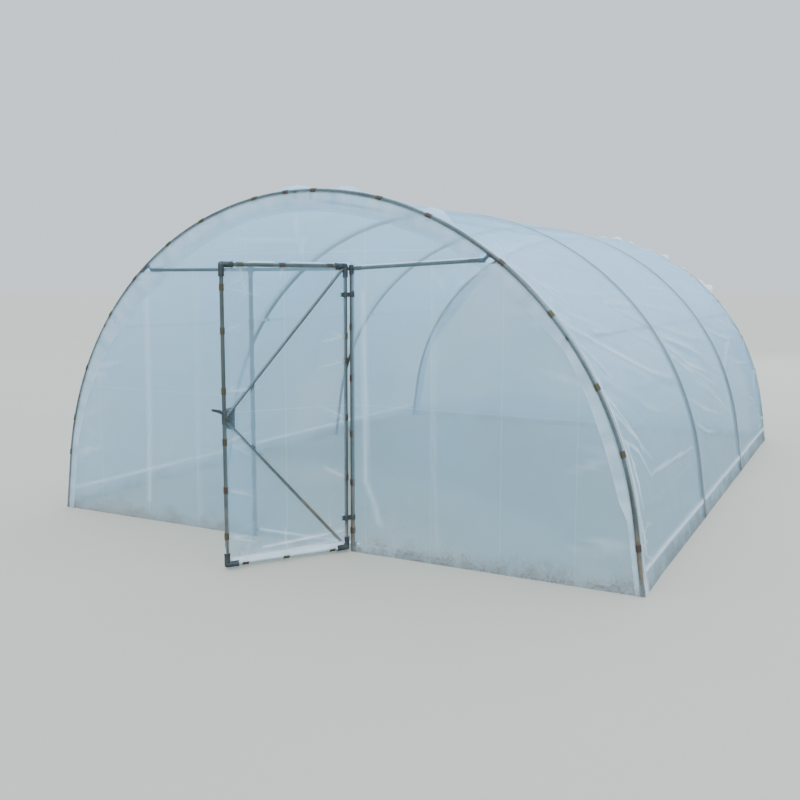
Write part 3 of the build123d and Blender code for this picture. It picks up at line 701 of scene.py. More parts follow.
def cover_folds(settings, relief, rng):
    """The long folds, those that start at the clips, and looser ones over each bay."""
    for points, width, rise, white in LONG_FOLDS:
        relief.add_fold([(girth_at(angle), y) for angle, y in points], width, rise, white, 0.5, 0.15)
    for near, ahead in ((0.0, 1), (LENGTH, -1)):
        for spot in [share * GIRTH for share in CLIP_SHARES for _ in range(4)]:
            run, lean, bend = (rng.uniform(*ends) for ends in ((0.18, 0.62), (-0.75, 0.75), (-0.15, 0.15)))
            middle = (spot + run * (lean * 0.5 + bend), near + ahead * run * 0.45)
            tip = (spot + run * lean, near + ahead * run)
            rise = settings.fold_rise * rng.uniform(0.35, 1.0)
            width, white = rng.uniform(0.018, 0.03), rng.uniform(0.15, 0.6)
            relief.add_fold([(spot, near + ahead * 0.015), middle, tip], width, rise, white, 0.9, 0.0)
    for bay_y in HOOPS[:-1]:
        for side in (0,) * 9 + (1,) * 9:
            s = girth_at(rng.uniform(9, SIDE_TOP))
            lean, run = rng.uniform(-0.42, -0.05), rng.uniform(0.5, 1.5)
            y = bay_y + rng.uniform(0.05, BAY - 0.2 - run * 0.6)
            line = np.array([(s, y), (s + run * lean * 0.45, y + run * 0.5), (s + run * lean, y + run)])
            if side:
                line[:, 0] = GIRTH - line[:, 0]
            width = rng.uniform(0.03, 0.055)
            rise = settings.fold_rise * rng.uniform(0.4, 1.2)
            relief.add_fold(line, width, rise, rng.uniform(0.15, 0.5), 0.0, 0.0)
            # Beside each fold, a hollow darkened with painted shade
            hollow = line - np.array([1.3 * width * (-1 if side else 1), 0.0])
            relief.add_fold(hollow, width, -0.7 * rise, -rng.uniform(0.2, 0.8), 0.0, 0.0)
        for _ in range(7):
            s, y = girth_at(rng.uniform(65, 115)), bay_y + rng.uniform(0.1, 0.9)
            run, lean, width = (rng.uniform(*ends) for ends in ((0.5, 1.3), (-0.2, 0.2), (0.04, 0.07)))
            rise, white = settings.fold_rise * rng.uniform(0.3, 0.7), rng.uniform(0.05, 0.2)
            relief.add_fold([(s, y), (s + run * lean, y + run)], width, rise, white, 0.0, 0.0)


def cover_relief(settings, across, along):
    """Dips, folds and puckers of the cover, inward negative, on its grid."""
    rng = np.random.default_rng(11)
    relief = Relief(across, along)
    cover_folds(settings, relief, rng)
    for s in (SOIL_Z / cos(SPLAY), GIRTH - SOIL_Z / cos(SPLAY)):
        relief.add_fold([(s, 0.0), (s, LENGTH)], 30 * MM, 7 * MM, 1.0, 1.0, 1.0)
    relief.add_swell(rng, 1.6 * MM, 0.25, 0.9, squeeze=0.5)
    relief.add_swell(rng, 0.7 * MM, 0.09, 0.2, squeeze=0.45)
    turn = np.minimum(turn_at(across), 180 - turn_at(across))
    across, along = across[:, None], along[None, :]
    bay = along / BAY
    bay_share = bay - np.floor(np.clip(bay, 0, HOOP_COUNT - 1 - 1e-9))
    dip = 4 * bay_share * (1 - bay_share)
    bent = ramp(np.minimum(across, GIRTH - across), 0.25, 0.6)
    slack = 1.0 + 0.35 * np.sin(across * 1.9 + 1.0) * np.cos(along * 0.8)
    off_hoop = np.clip(np.minimum(bay_share, 1 - bay_share) * BAY / 0.10, 0, 1)
    off_hoop = off_hoop * off_hoop * (3 - 2 * off_hoop)
    height = relief.height * off_hoop - settings.sag * dip * (0.25 + 0.75 * bent) * slack
    fold = relief.fold * np.clip(off_hoop + 0.15, 0, 1)
    # The low sides are clearer than the crown, and darkened there with painted shade
    clearer = np.clip((33 - turn) / 13, 0, 1)[:, None] * (0.8 + 0.2 * np.sin(across * 5 + along * 2))
    return height, fold - 0.48 * clearer * np.clip(1 - 3 * np.abs(fold), 0, 1)


def cover_tail(settings, across, width, hoop_y, side, seed):
    """The cover's edge, bent round an end hoop and laid on the gable. side is -1 in front, 1 behind."""
    rng = np.random.default_rng(seed)
    x, z, nx, nz = arch(across)
    tube = HOOP_TUBE + COVER_ON_TUBE
    rows, cuts, veils, folds = [], [], [], []
    clips = np.array(CLIP_SHARES) * GIRTH
    free = ramp(np.min(abs(across[:, None] - clips), axis=1), 0.03, 0.15)
    sheen_streak = np.clip(0.5 + 0.5 * np.sin(across * 6.1 + 3 * np.sin(across * 2.3)), 0.15, 1)
    for angle in WRAP:
        rise = tube * sin(radians(angle))
        y = np.full_like(x, hoop_y + side * tube * cos(radians(angle)))
        rows.append(np.stack([x + nx * rise, y, z + nz * rise], -1))
        cuts.append(np.stack([across, np.full_like(x, side * tube * radians(90 - angle))], -1))
        # Painted highlight: the film on the hoop's outer side is drawn whiter and more veiled, in streaks
        # along the hoop
        outer = max(0.0, (angle - 40) / 35)
        veils.append(0.04 + 0.30 * outer * sheen_streak)
        folds.append(0.8 * outer * sheen_streak)
    lengths = (0.13, 0.21, 0.34, 0.57)
    waves = sum(np.sin(across * 2 * pi / length + rng.uniform(0, 6)) for length in lengths) / len(lengths)
    bar_line = BAR_Z + np.where(x > 0, BARS[1][2], BARS[0][2])
    for k in range(1, TAIL_ROWS + 1):
        share = k / TAIL_ROWS
        inward = width * share
        row_z = z - nz * inward
        lift = (0.6 + 2.2 * share + 5.5 * share * share * free * (0.7 + waves)) * MM
        rows.append(np.stack([x - nx * inward, hoop_y + side * (tube + lift), row_z], -1))
        cuts.append(np.stack([across, side * (tube * pi / 2 + inward)], -1))
        on_bar = bell(row_z - bar_line, 20 * MM, 4) * (side < 0)
        on_crown = bell(turn_at(across) - 90, 45, 4) * ramp(share, 0.35, 0.65)
        clear = ramp(inward, 0.012, 0.008) * (1 - 0.85 * on_bar) * (1 - 0.85 * on_crown)
        veils.append(0.04 + clear * (settings.veil - 0.06))
        folds.append(((0.55 if k == TAIL_ROWS else 0.46) + 0.22 * np.clip(waves, -1, 1)) * clear)
    points = np.stack(rows, axis=1)
    points[..., 2] = np.maximum(points[..., 2], 2 * MM)
    return points, np.stack(cuts, axis=1), np.stack(veils, axis=1), np.stack(folds, axis=1)


def lift_flaps(across, points, veil, fold):
    """Raises the loose flaps of the rear tail, from where it leaves the hoop."""
    _, _, nx, nz = arch(across)
    lift = sum(1.35 * rise * bell(turn_at(across) - angle, spread) for angle, spread, rise in REAR_FLAPS)
    count = len(WRAP) - 1
    tuft = np.clip(lift / 0.018, 0, 1)[:, None]
    veil[:, : count + 3] = np.maximum(veil[:, : count + 3], 0.8 * tuft)
    fold[:, : count + 3] = np.maximum(fold[:, : count + 3], 0.95 * tuft)
    for k in range(count):
        share = sin(pi * (k + 1) / (count + 1))
        points[:, k] += np.stack([nx * lift * share, lift * 1.2 * share, nz * lift * share], -1)


def hoop_shows(settings, across, along, fold):
    """Veil and folds of the cover where the hoops show through it, 85 mm in front of them and 14 mm behind,
    both from 21.5 mm off their axis."""
    # Painted sky reflection, partly: the veil rises towards the crown, drawing it milkier and lighter; the
    # rest is bleaching
    steep = np.clip(np.sin(np.radians(turn_at(across))), 0, 1)[:, None]
    veil = settings.veil + (settings.crown_veil - settings.veil) * steep**1.2
    ahead = np.array(HOOPS)[None, :] - along[:, None]
    beside = np.where(ahead > 0, (ahead - 0.0215) / 0.085, (-ahead - 0.0215) / 0.014).min(axis=1)
    veil = veil * (0.45 + 0.55 * np.clip(beside, 0, 1))[None, :]
    # Painted highlight: a faint lighter strip 70 mm behind each hoop; painted shadow: a darker band either
    # side of each hoop
    lit, shadow = bell(ahead + 0.07, 0.035).max(axis=1), bell(ahead, 0.055).max(axis=1)
    fold = np.maximum(fold, 0.16 * lit)
    fold = fold - 0.62 * shadow * np.clip(1 - 2 * np.abs(fold), 0, 1)
    # Painted highlight on the film's bend behind the front hoop; ragged double film at the rear one, white at
    # the right foot
    s = across[:, None]
    bend_highlight = 0.75 + 0.25 * np.sin(s * 7.3 + 2 * np.sin(s * 2.9))
    ragged = 0.55 + 0.45 * np.sin(s * 9.1 + 2 * np.sin(s * 3.3))
    fold = over(fold, 0.95 * bend_highlight * bell(along - 0.034, 0.024))
    fold = over(fold, np.clip(2.2 * np.clip(1 - s / 0.17, 0, 1) * bell(along, 0.075), 0, 0.95))
    return veil, over(fold, 0.75 * ragged * bell(LENGTH - along, 0.07))


class TUNNEL_OT_cover_film(bpy.types.Operator):
    """Make the one long film that covers the hoops, with its tails on both gables"""

    bl_idname = "tunnel.cover_film"
    bl_label = "Cover film"

    def execute(self, context):
        settings = context.scene.tunnel.film
        fine_to = girth_at(SIDE_TOP)
        hem = HEM_ROWS * SOIL_Z / cos(SPLAY)
        across = np.concatenate([
            FOOT_ROWS, hem,
            strip_steps(hem[-1], fine_to, settings.step_fine)[1:],
            strip_steps(fine_to, GIRTH - hem[-1], settings.step_plain)[1:-1],
            GIRTH - hem[::-1], GIRTH - FOOT_ROWS[::-1],
        ])
        near, rest = strip_steps(0, NEAR_END, NEAR_STEP), strip_steps(NEAR_END, LENGTH, FAR_STEP, HOOPS[1:])
        along = np.concatenate([near, rest[1:]])
        far = np.min(abs(along[:, None] - np.array(HOOPS[1:])[None, :]), axis=1)
        beside = [hoop + d * MM for hoop in HOOPS[1:-1] for d in BESIDE_HOOP]
        beside += [LENGTH - 14 * MM, LENGTH - 22 * MM]
        along = np.unique(np.concatenate([along[(far > 27 * MM) | (far < 1e-6)], beside]))
        height, fold = cover_relief(settings, across, along)
        x, z, nx, nz = (v[:, None] for v in arch(across))
        out = HOOP_TUBE + COVER_ON_TUBE + height
        body = np.stack([x + nx * out, np.broadcast_to(FRONT_Y + along, out.shape), z + nz * out], axis=-1)
        body_cut = np.stack(np.broadcast_arrays(across[:, None], along[None, :]), axis=-1)
        body_veil, fold = hoop_shows(settings, across, along, fold)

        front_width = np.interp(turn_at(across), TAIL_ANGLES, TAIL_WIDTHS)
        front = cover_tail(settings, across, front_width, FRONT_Y, -1, 5)
        rear_width = 0.11 + 0.035 * np.sin(across * 2.3) + 0.02 * np.sin(across * 5.1 + 1)
        points, cut, veil, white = cover_tail(settings, across, rear_width, REAR_Y, 1, 8)
        lift_flaps(across, points, veil, white)
        rear = (points, cut + np.array([0, LENGTH]), veil, white)
        grids = zip([grid[:, ::-1] for grid in front], (body, body_cut, body_veil, fold), rear)
        piece = sheet_mesh("cover_sheet", *(joined(*parts) for parts in grids))
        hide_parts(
            "right_side_film", "right_shoulder_film", "right_crown_film",
            "left_crown_film", "left_shoulder_film", "left_side_film",
        )
        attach(piece, "frame")
        return {"FINISHED"}


# Gable films

# Packing creases that show on the front gable film: points in X and Z, and strength
GABLE_CREASES = (
    (((-1.52, 1.90), (-1.53, 0.85), (-1.56, 0.17)), 0.45),
    (((0.50, 1.90), (0.52, 0.915), (0.518, 0.549), (0.592, 0.373), (0.633, 0.23)), 0.45),
    (((-0.10, 2.56), (-0.05, 2.346), (-0.01, 2.187)), 0.35),
    (((-0.62, 2.288), (0.02, 2.273)), 0.28),
    (((1.27, 2.24), (1.283, 2.12)), 0.40),
    (((1.05, 2.05), (1.06, 0.9), (1.09, 0.1)), 0.15),
    (((-1.00, 2.0), (-1.02, 1.0), (-1.02, 0.1)), 0.15),
)
CREASE_RISE = 1.2 * MM

# Angles of the arch between which the front gable's film hangs from the hoop down to the door head
HEAD_ANGLES = (62, 121)
# Angles at which a gable film is bent round its hoop and, in front, round the posts
HOOP_TURNS = (18, 36, 54, 72, 90, 108)
POST_TURNS = (24, 48, 75, 100, 125, 150)
# How far back and how low the edge over the door runs
HEAD_EDGE = ((6, -1), (20, -2), (32, -10), (44, -24), (56, -40), (66, -62))


def gable_relief(seed, across, depth):
    """Puckers of a gable film by distance round the arch and inward share."""
    rng = np.random.default_rng(seed)
    relief = Relief(across, depth)
    for spot in [share * GIRTH for share in CLIP_SHARES for _ in range(4)]:
        run, lean, width, rise, white = (
            rng.uniform(*ends) for ends in ((0.12, 0.5), (-0.5, 0.5), (0.014, 0.026), (1.2, 3.2), (0.1, 0.4))
        )
        line = [(spot, depth[-1] - 0.01), (spot + run * lean, depth[-1] - run)]
        relief.add_fold(line, width, rise * MM, white, 0.9, 0.0)
    relief.add_swell(rng, 1.0 * MM, 0.3, 1.1)
    relief.add_swell(rng, 0.4 * MM, 0.1, 0.22)
    return relief


def hoop_edge(line, hoop_y, side):
    """A gable film's outer edge, bent round its hoop: points and flat cut. side is -1 in front, 1 behind."""
    x, z, nx, nz = (v[:, None] for v in line)
    turns = np.radians(HOOP_TURNS)
    tube = HOOP_TUBE + GABLE_ON_TUBE
    rise, run = tube * np.sin(turns), tube * turns
    y = np.broadcast_to(hoop_y + side * tube * np.cos(turns), (len(x), len(turns)))
    return np.stack([x + nx * rise, y, z + nz * rise], -1), np.stack([x + nx * run, z + nz * run], -1)


def near_hoop_veil(settings, px, pz, line):
    """Veil of a gable film, which is clear where it lies on the hoop."""
    gap = np.hypot(px - line[0][:, None], pz - line[1][:, None])
    return 0.04 + (settings.veil - 0.04) * ramp(gap, 0.012, 0.008)


class TUNNEL_OT_front_gable(bpy.types.Operator):
    """Make the front gable's film, with the doorway cut out and its edges wrapped on the posts"""

    bl_idname = "tunnel.front_gable"
    bl_label = "Front gable film"

    def execute(self, context):
        settings = context.scene.tunnel.film
        tube = HOOP_TUBE + GABLE_ON_TUBE
        plane = FRONT_Y - tube
        # Stations round the doorway: up the hinge post, along the head and down the latch post
        notch = HINGE_HEIGHT / 2 + 7 * MM
        cap_low, cap_top = BAR_Z - 45 * MM, POST_TOP + 9 * MM
        marks = [0.0, DOOR_HEAD, cap_low] + [z + d * notch for z in HINGE_Z for d in (-1, 1)]
        post = strip_steps(0, DOOR_HEAD, 0.025, marks)
        head = np.linspace(0, 1, 37)[1:-1]
        side = np.repeat([1.0, 0.0, -1.0], (len(post), len(head), len(post)))
        on_head = (side == 0)[:, None]
        inner_x = np.where(side > 0, HINGE_X, LATCH_X)
        inner_x[side == 0] = HINGE_X + (LATCH_X - HINGE_X) * head
        inner_z = np.concatenate([post, np.full(len(head), DOOR_HEAD), post[::-1]])
        top_right, top_left = (girth_at(angle) for angle in HEAD_ANGLES)
        outer_s = np.concatenate([
            top_right * post / DOOR_HEAD, top_right + (top_left - top_right) * head,
            GIRTH - (GIRTH - top_left) * post[::-1] / DOOR_HEAD,
        ])
        line = arch(outer_s)
        depth = np.concatenate([
            [0.0, 0.006, 0.0155], np.linspace(0.03, 0.965, 66), [0.982, 0.992, 0.997, 1.0]
        ])
        px, pz = (
            inner[:, None] * (1 - depth) + outer[:, None] * depth
            for inner, outer in ((inner_x, line[0]), (inner_z, line[1]))
        )
        shaped = gable_relief(21, outer_s, depth * 2.0)
        ease = (np.clip((1 - depth) / 0.10, 0, 1) * np.clip(depth / 0.03, 0, 1))[None, :]
        bulge, fold = shaped.height * ease, shaped.fold * ease
        for points, strength in GABLE_CREASES:
            near = bell(from_line(px, pz, np.array(points))[0], 21 * MM)
            fold = np.maximum(fold, strength * near)
            bulge = bulge + CREASE_RISE * near * ease
        # Painted light: whiter towards the crown and on the left, where the film takes the most light; the
        # veil also rises towards the crown
        painted_light = 0.24 * ramp(pz, 1.3, 1.2) + 0.10 * np.clip((LATCH_X - px) / 0.8, 0, 1)
        fold = fold + painted_light * np.clip(1 - 2 * fold, 0, 1) * ease
        veil = settings.veil - 0.09 + 0.27 * np.clip(pz / CROWN_Z, 0, 1) ** 1.3
        # The film lies on the crossbars, posts and hoop, and is clear there
        for post_x, sign, climb in BARS:
            beyond = px * sign - abs(post_x)
            bar = BAR_Z + climb * np.clip(beyond / BAR_RUN, 0, 1)
            bulge = bulge * (1 - (beyond > 0) * bell(pz - bar, 45 * MM, 4))
            veil = veil * (1 - 0.85 * (pz < POST_TOP) * bell(px - post_x, 16 * MM, 4))
        veil = np.minimum(veil, near_hoop_veil(settings, px, pz, line))
        plain = np.stack([px, plane - bulge, pz], axis=-1)
        # Inner edge, bent round the posts and back over the header
        inner, inner_cut = [], []
        for angle, (back, down) in zip(POST_TURNS, HEAD_EDGE):
            a = radians(angle)
            y = np.full_like(inner_x, FRONT_Y - tube * cos(a))
            on_post = np.stack([inner_x - side * tube * sin(a), y, inner_z], -1)
            on_header = np.stack([inner_x, np.full_like(inner_x, plane + back * MM), inner_z + down * MM], -1)
            inner.insert(0, np.where(on_head, on_header, on_post))
            inner_cut.insert(0, np.stack([inner_x - side * tube * a, inner_z - (side == 0) * tube * a], -1))
        outer, outer_cut = hoop_edge(line, FRONT_Y, -1)
        points = joined(np.stack(inner, 1), plain, outer)
        points[..., 2] = np.maximum(points[..., 2], 1 * MM)
        cuts = joined(np.stack(inner_cut, 1), np.stack([px, pz], axis=-1), outer_cut)
        edge = np.ones((len(inner_x), len(HOOP_TURNS)))
        # Cut away round the hinge clamps and the fittings on the post tops
        mx, mz = face_middles(points)
        drop = np.zeros(mx.shape, bool)
        for z in HINGE_Z:
            drop |= (abs(mz - z) < notch) & (abs(mx - HINGE_X) < 36 * MM)
        for post_x in (LATCH_X, HINGE_X):
            drop |= (mz > cap_low) & (mz < cap_top) & (abs(mx - post_x) < 21 * MM)
        veil, fold = joined(0.05 * edge, veil, 0.04 * edge), joined(0.05 * edge, fold, 0 * edge)
        piece = sheet_mesh("front_gable_sheet", points, cuts, veil, fold, drop)
        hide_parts("front_film_left", "front_film_right", "front_film_top")
        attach(piece, "frame")
        return {"FINISHED"}


class TUNNEL_OT_rear_gable(bpy.types.Operator):
    """Make the rear gable's film in one whole sheet"""

    bl_idname = "tunnel.rear_gable"
    bl_label = "Rear gable film"

    def execute(self, context):
        settings = context.scene.tunnel.film
        outer_s = strip_steps(0.012, GIRTH - 0.012, 0.034)
        line = arch(outer_s)
        ax, az = line[0][:, None], line[1][:, None]
        depth = np.concatenate([np.linspace(0, 0.97, 56), [0.985, 1.0]])
        px = np.broadcast_to(ax, (len(ax), len(depth)))
        pz = 2 * MM * (1 - depth) + az * depth
        shaped = gable_relief(33, outer_s, depth * 2.0)
        ease = np.clip((1 - depth) / 0.03, 0, 1)[None, :]
        bulge = shaped.height * ease * np.clip(az / 0.5, 0, 1)
        fold = shaped.fold * ease
        for crease_x, strength in ((-1.3, 0.3), (0.05, 0.35), (1.32, 0.3)):
            near = bell(px - crease_x, 11 * MM)
            fold = np.maximum(fold, strength * near)
            bulge = bulge + CREASE_RISE * near * ease
        plain = np.stack([px, REAR_Y + HOOP_TUBE + GABLE_ON_TUBE + bulge, pz], axis=-1)
        outer, outer_cut = hoop_edge(line, REAR_Y, 1)
        edge = np.ones((len(ax), len(HOOP_TURNS)))
        veil = near_hoop_veil(settings, px, pz, line)
        grids = (
            (plain, outer), (np.stack([px, pz], axis=-1), outer_cut), (veil, 0.04 * edge), (fold, 0 * edge),
        )
        piece = sheet_mesh("rear_gable_sheet", *(joined(*parts)[:, ::-1] for parts in grids))
        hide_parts("rear_film")
        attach(piece, "frame")
        return {"FINISHED"}


# Leaf film

LEAF_TURNS = (25, 50, 80, 110, 140)
# Slack gathered above the bottom rail
LEAF_SLACK = (
    ((-0.93, 0.060), (-0.10, 0.105)), ((-0.93, 0.085), (-0.30, 0.075)), ((-0.70, 0.13), (-0.08, 0.17))
)
# Veil and whitening of the edges turned under the bottom rail and over the top rail; the white over the top
# rail is partly its standing cut edge and partly painted highlight
UNDER_RAIL = (0.1, 0.1, 0.1, 0.15, 0.35)
OVER_RAIL = (0.05, 0.05, 0.35, 0.85, 0.85)


def leaf_relief(xs, zs):
    """Puckers of the leaf's film from each of its clips, and the slack above the bottom rail."""
    rng = np.random.default_rng(5)
    relief = Relief(xs, zs)
    # Each clip's place, the way inward, how far in its folds start, their longest run, lean and height
    clips = [((-FREE_REACH, z), (1, 0), 0.01, 0.3, 0.6, 2.6) for z in FREE_STILE_CLIPS]
    clips += [((-STILE_REACH, z), (-1, 0), 0.01, 0.28, 0.6, 2.4) for z in HINGE_STILE_CLIPS]
    clips += [
        ((x, z), (0, way), 0.0, 0.35, 0.5, 2.6)
        for x in RAIL_CLIPS for z, way in ((RAIL_LOW + 0.01, 1), (RAIL_HIGH - 0.01, -1))
    ]
    for (x, z), (dx, dz), start, longest, lean, rise in [clip for clip in clips for _ in range(3)]:
        run = rng.uniform(0.08, longest)
        aside = run * rng.uniform(-lean, lean)
        tip = (x + dx * run + abs(dz) * aside, z + dz * run + abs(dx) * aside)
        width, height, white = (rng.uniform(*ends) for ends in ((0.012, 0.022), (1.0, rise), (0.1, 0.4)))
        relief.add_fold([(x + dx * start, z + dz * start), tip], width, height * MM, white, 0.9, 0.0)
    for line in LEAF_SLACK:
        relief.add_fold(line, 0.014, 4.5 * MM, 0.95, 0.6, 0.6)
    relief.add_swell(rng, 0.8 * MM, 0.25, 0.8)
    relief.add_swell(rng, 0.35 * MM, 0.08, 0.2)
    return relief


def leaf_contact(gx, gz):
    """Where the leaf's film lies on the braces, the gusset, the stiles and the top rail, 1 on them."""
    vertex = (-FREE_REACH + 14 * MM, BRACE_Z)
    parts = [
        bell(gx + FREE_REACH, LEAF_TUBE, 4), bell(gx + STILE_REACH, LEAF_TUBE, 4),
        bell(RAIL_HIGH - gz, LEAF_TUBE, 4),
        bell(gx + FREE_REACH - 0.035, 0.045, 4) * bell(gz - BRACE_Z, 0.07, 4),
    ]
    for end_z in (RAIL_HIGH - 14 * MM, RAIL_LOW + 14 * MM):
        run_x, run_z = -STILE_REACH - 14 * MM - vertex[0], end_z - vertex[1]
        off = ((gx - vertex[0]) * run_z - (gz - vertex[1]) * run_x) / hypot(run_x, run_z)
        parts.append(bell(off, BRACE_TUBE * 1.25, 6))
    return np.maximum.reduce(parts)


def leaf_sides(tube, zs, edge_x, way):
    """An upright edge of the leaf's film, bent round its stile: points and flat cut."""
    made, flat = [], []
    for angle in LEAF_TURNS:
        a = radians(angle)
        x, y = (np.full_like(zs, v) for v in (edge_x + way * tube * sin(a), -tube * cos(a)))
        made.append(np.stack([x, y, zs], -1))
        flat.append(np.stack([np.full_like(zs, edge_x + way * tube * a), zs], -1))
    return np.stack(made, 0), np.stack(flat, 0)


def leaf_rail_edge(tube, points, cut, way):
    """A level edge of the leaf's film, bent round its rail, under the bottom one or over the top one."""
    z, end = (RAIL_LOW, 0) if way < 0 else (RAIL_HIGH, -1)
    rows, cuts = [], []
    for angle in LEAF_TURNS:
        a = radians(angle)
        line, flat = points[:, end].copy(), cut[:, end].copy()
        line[:, 1] = line[:, 1] * cos(a)
        line[:, 2] = z + way * tube * sin(a)
        if way > 0 and angle > 90:
            # The cut edge stands up above the top rail between its clips
            off_clip = np.min(abs(line[:, 0, None] - np.array(RAIL_CLIPS)), axis=1)
            free = ramp(off_clip, 0.022, 0.05) * (abs(line[:, 0] + 0.5) < 0.44)
            line[:, 2] += free * (z + tube + 12 * MM * (angle - 80) / 60 - line[:, 2])
            line[:, 1] *= 1 - free
        flat[:, 1] += way * tube * a
        rows.append(line)
        cuts.append(flat)
    return np.stack(rows[::way], 1), np.stack(cuts[::way], 1)


class TUNNEL_OT_leaf_film(bpy.types.Operator):
    """Make the door leaf's film, wrapped round its tubes and gathered on the bottom rail"""

    bl_idname = "tunnel.leaf_film"
    bl_label = "Leaf film"

    def execute(self, context):
        settings = context.scene.tunnel.film
        tube = LEAF_TUBE + LEAF_ON_TUBE
        marks = ELBOW_ARM + 4 * MM
        xs = strip_steps(-FREE_REACH, -STILE_REACH, 0.0075, [-FREE_REACH + marks, -STILE_REACH - marks])
        zs = strip_steps(RAIL_LOW, RAIL_HIGH, 0.009, [RAIL_LOW + marks, RAIL_HIGH - marks])
        relief = leaf_relief(xs, zs)
        gx, gz = np.meshgrid(xs, zs, indexing="ij")
        rim = np.minimum.reduce([gx + FREE_REACH, -STILE_REACH - gx, gz - RAIL_LOW, RAIL_HIGH - gz])
        ease = np.clip(rim / 0.05, 0, 1)
        on_tube = leaf_contact(gx, gz)
        band = bell(gz - RAIL_LOW - 0.028, 0.026, 4)
        haze = np.clip(1 - (gz - RAIL_LOW) / (0.10 + 0.10 * (gx + FREE_REACH)), 0, 1)
        veil = np.maximum((settings.veil - 0.06) * (1 - 0.88 * on_tube), 0.85 * band)
        fold = np.maximum.reduce([relief.fold * ease * (1 - 0.9 * on_tube), 0.95 * band, 0.45 * haze])
        bulge = np.maximum(relief.height * ease, -LEAF_ON_TUBE) * (1 - on_tube)
        bulge = bulge + band * 3.0 * MM * (1 + 0.6 * np.sin(gx * 38) * np.sin(gx * 13 + 1))
        left, left_cut = leaf_sides(tube, zs, -FREE_REACH, -1)
        right, right_cut = leaf_sides(tube, zs, -STILE_REACH, 1)
        points = joined(left[::-1], np.stack([gx, -tube - bulge, gz], axis=-1), right, axis=0)
        cut = joined(left_cut[::-1], np.stack([gx, gz], axis=-1), right_cut, axis=0)
        count = len(LEAF_TURNS)
        side = np.ones((count, len(zs)))
        veil, fold = joined(0.05 * side, veil, 0.05 * side, axis=0), joined(0 * side, fold, 0 * side, axis=0)
        # Foot of the free stile: a loose flap stands off to the side
        flap = bell(zs - 0.10, 0.065, 4)
        for k in range(count):
            share = (count - k) / count
            row = points[k]
            row[:, 0] += flap * (-0.030 * share + 0.004)
            row[:, 1] += flap * (-0.010 * share - row[:, 1] * 0.9 - 0.006)
            veil[k] = np.maximum(veil[k], 0.55 * flap)
            fold[k] = np.maximum(fold[k], 0.5 * flap)
        low, low_cut = leaf_rail_edge(tube, points, cut, -1)
        high, high_cut = leaf_rail_edge(tube, points, cut, 1)
        points, cut = joined(low, points, high), joined(low_cut, cut, high_cut)
        under, over_rail = (np.tile(values, (len(points), 1)) for values in (UNDER_RAIL, OVER_RAIL))
        veil, fold = joined(under, veil, over_rail), joined(under, fold, over_rail)
        # Cut away round the corner fittings and the hinge clamps
        mx, mz = face_middles(points)
        drop = np.zeros(mx.shape, bool)
        wide, long = ELBOW_R + 3 * MM, ELBOW_ARM + 3 * MM
        for x, run_x, z, run_z in CORNERS:
            u, v = (mx - x) * run_x, (mz - z) * run_z
            drop |= ((u < wide) & (v < long)) | ((v < wide) & (u < long)) | (u + v < wide * 2.6)
        for z in HINGE_Z:
            drop |= (abs(mz - z) < HINGE_HEIGHT / 2 + 4 * MM) & (mx > -STILE_REACH - 40 * MM)
        piece = sheet_mesh("leaf_sheet", swing(points), cut, veil, fold, drop)
        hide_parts("leaf_film")
        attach(piece, "door")
        return {"FINISHED"}


# Bolts and screws

WASHER = 1.2 * MM
SCREW_R = 3.6 * MM
# Clamps of the end hoops sit this far inward
CLAMP_SHIFT = 7 * MM
# Screws of the post tops: below the bar's axis on the post, and out along the bar and below it
POST_SCREW_DROP = 24 * MM
BAR_SCREW_OUT = 52 * MM
BAR_SCREW_DROP = 15.6 * MM
# Faces that the fixings lie on, by how far they stand off a tube or a fitting
CLAMP_FACE = 3.7 * MM
HEADER_CLAMP_FACE = 3.1 * MM
ELBOW_FACE = 3.2 * MM
GUSSET_FACE = 15.7 * MM
# The pinched ear of a hinge clamp: how far beyond the stile's axis, and half its thickness
EAR_OUT = 28 * MM
EAR_HALF = 6.4 * MM
PINCH_ACROSS = 13 * MM
PINCH_HEIGHT = 4.6 * MM
# Bolts of the gusset, from the free stile's axis and the middle of the braces
GUSSET_BOLTS = ((0.044, 0.036), (0.044, -0.036), (0.066, 0.0))


def deselect():
    if bpy.context.mode != "OBJECT":
        bpy.ops.object.mode_set(mode="OBJECT")
    bpy.ops.object.select_all(action="DESELECT")


def edit(piece, parts, chosen):
    """Opens a piece for editing with the chosen ones of its faces or edges selected."""
    bpy.ops.object.mode_set(mode="EDIT")
    bpy.ops.mesh.select_all(action="DESELECT")
    shape = bmesh.from_edit_mesh(piece.data)
    for part in getattr(shape, parts):
        part.select = chosen(part)
    bmesh.update_edit_mesh(piece.data)


def upper_edge(edge):
    return all(v.co.z > 0.5 * MM for v in edge.verts) and len(edge.link_faces) == 2


def top_face(face):
    return face.normal.z > 0.9


def settle(piece, name):
    """Names a finished model and puts its place into its mesh."""
    piece.name = name
    piece.data.transform(piece.matrix_world)
    piece.matrix_world = Matrix.Identity(4)
    return piece


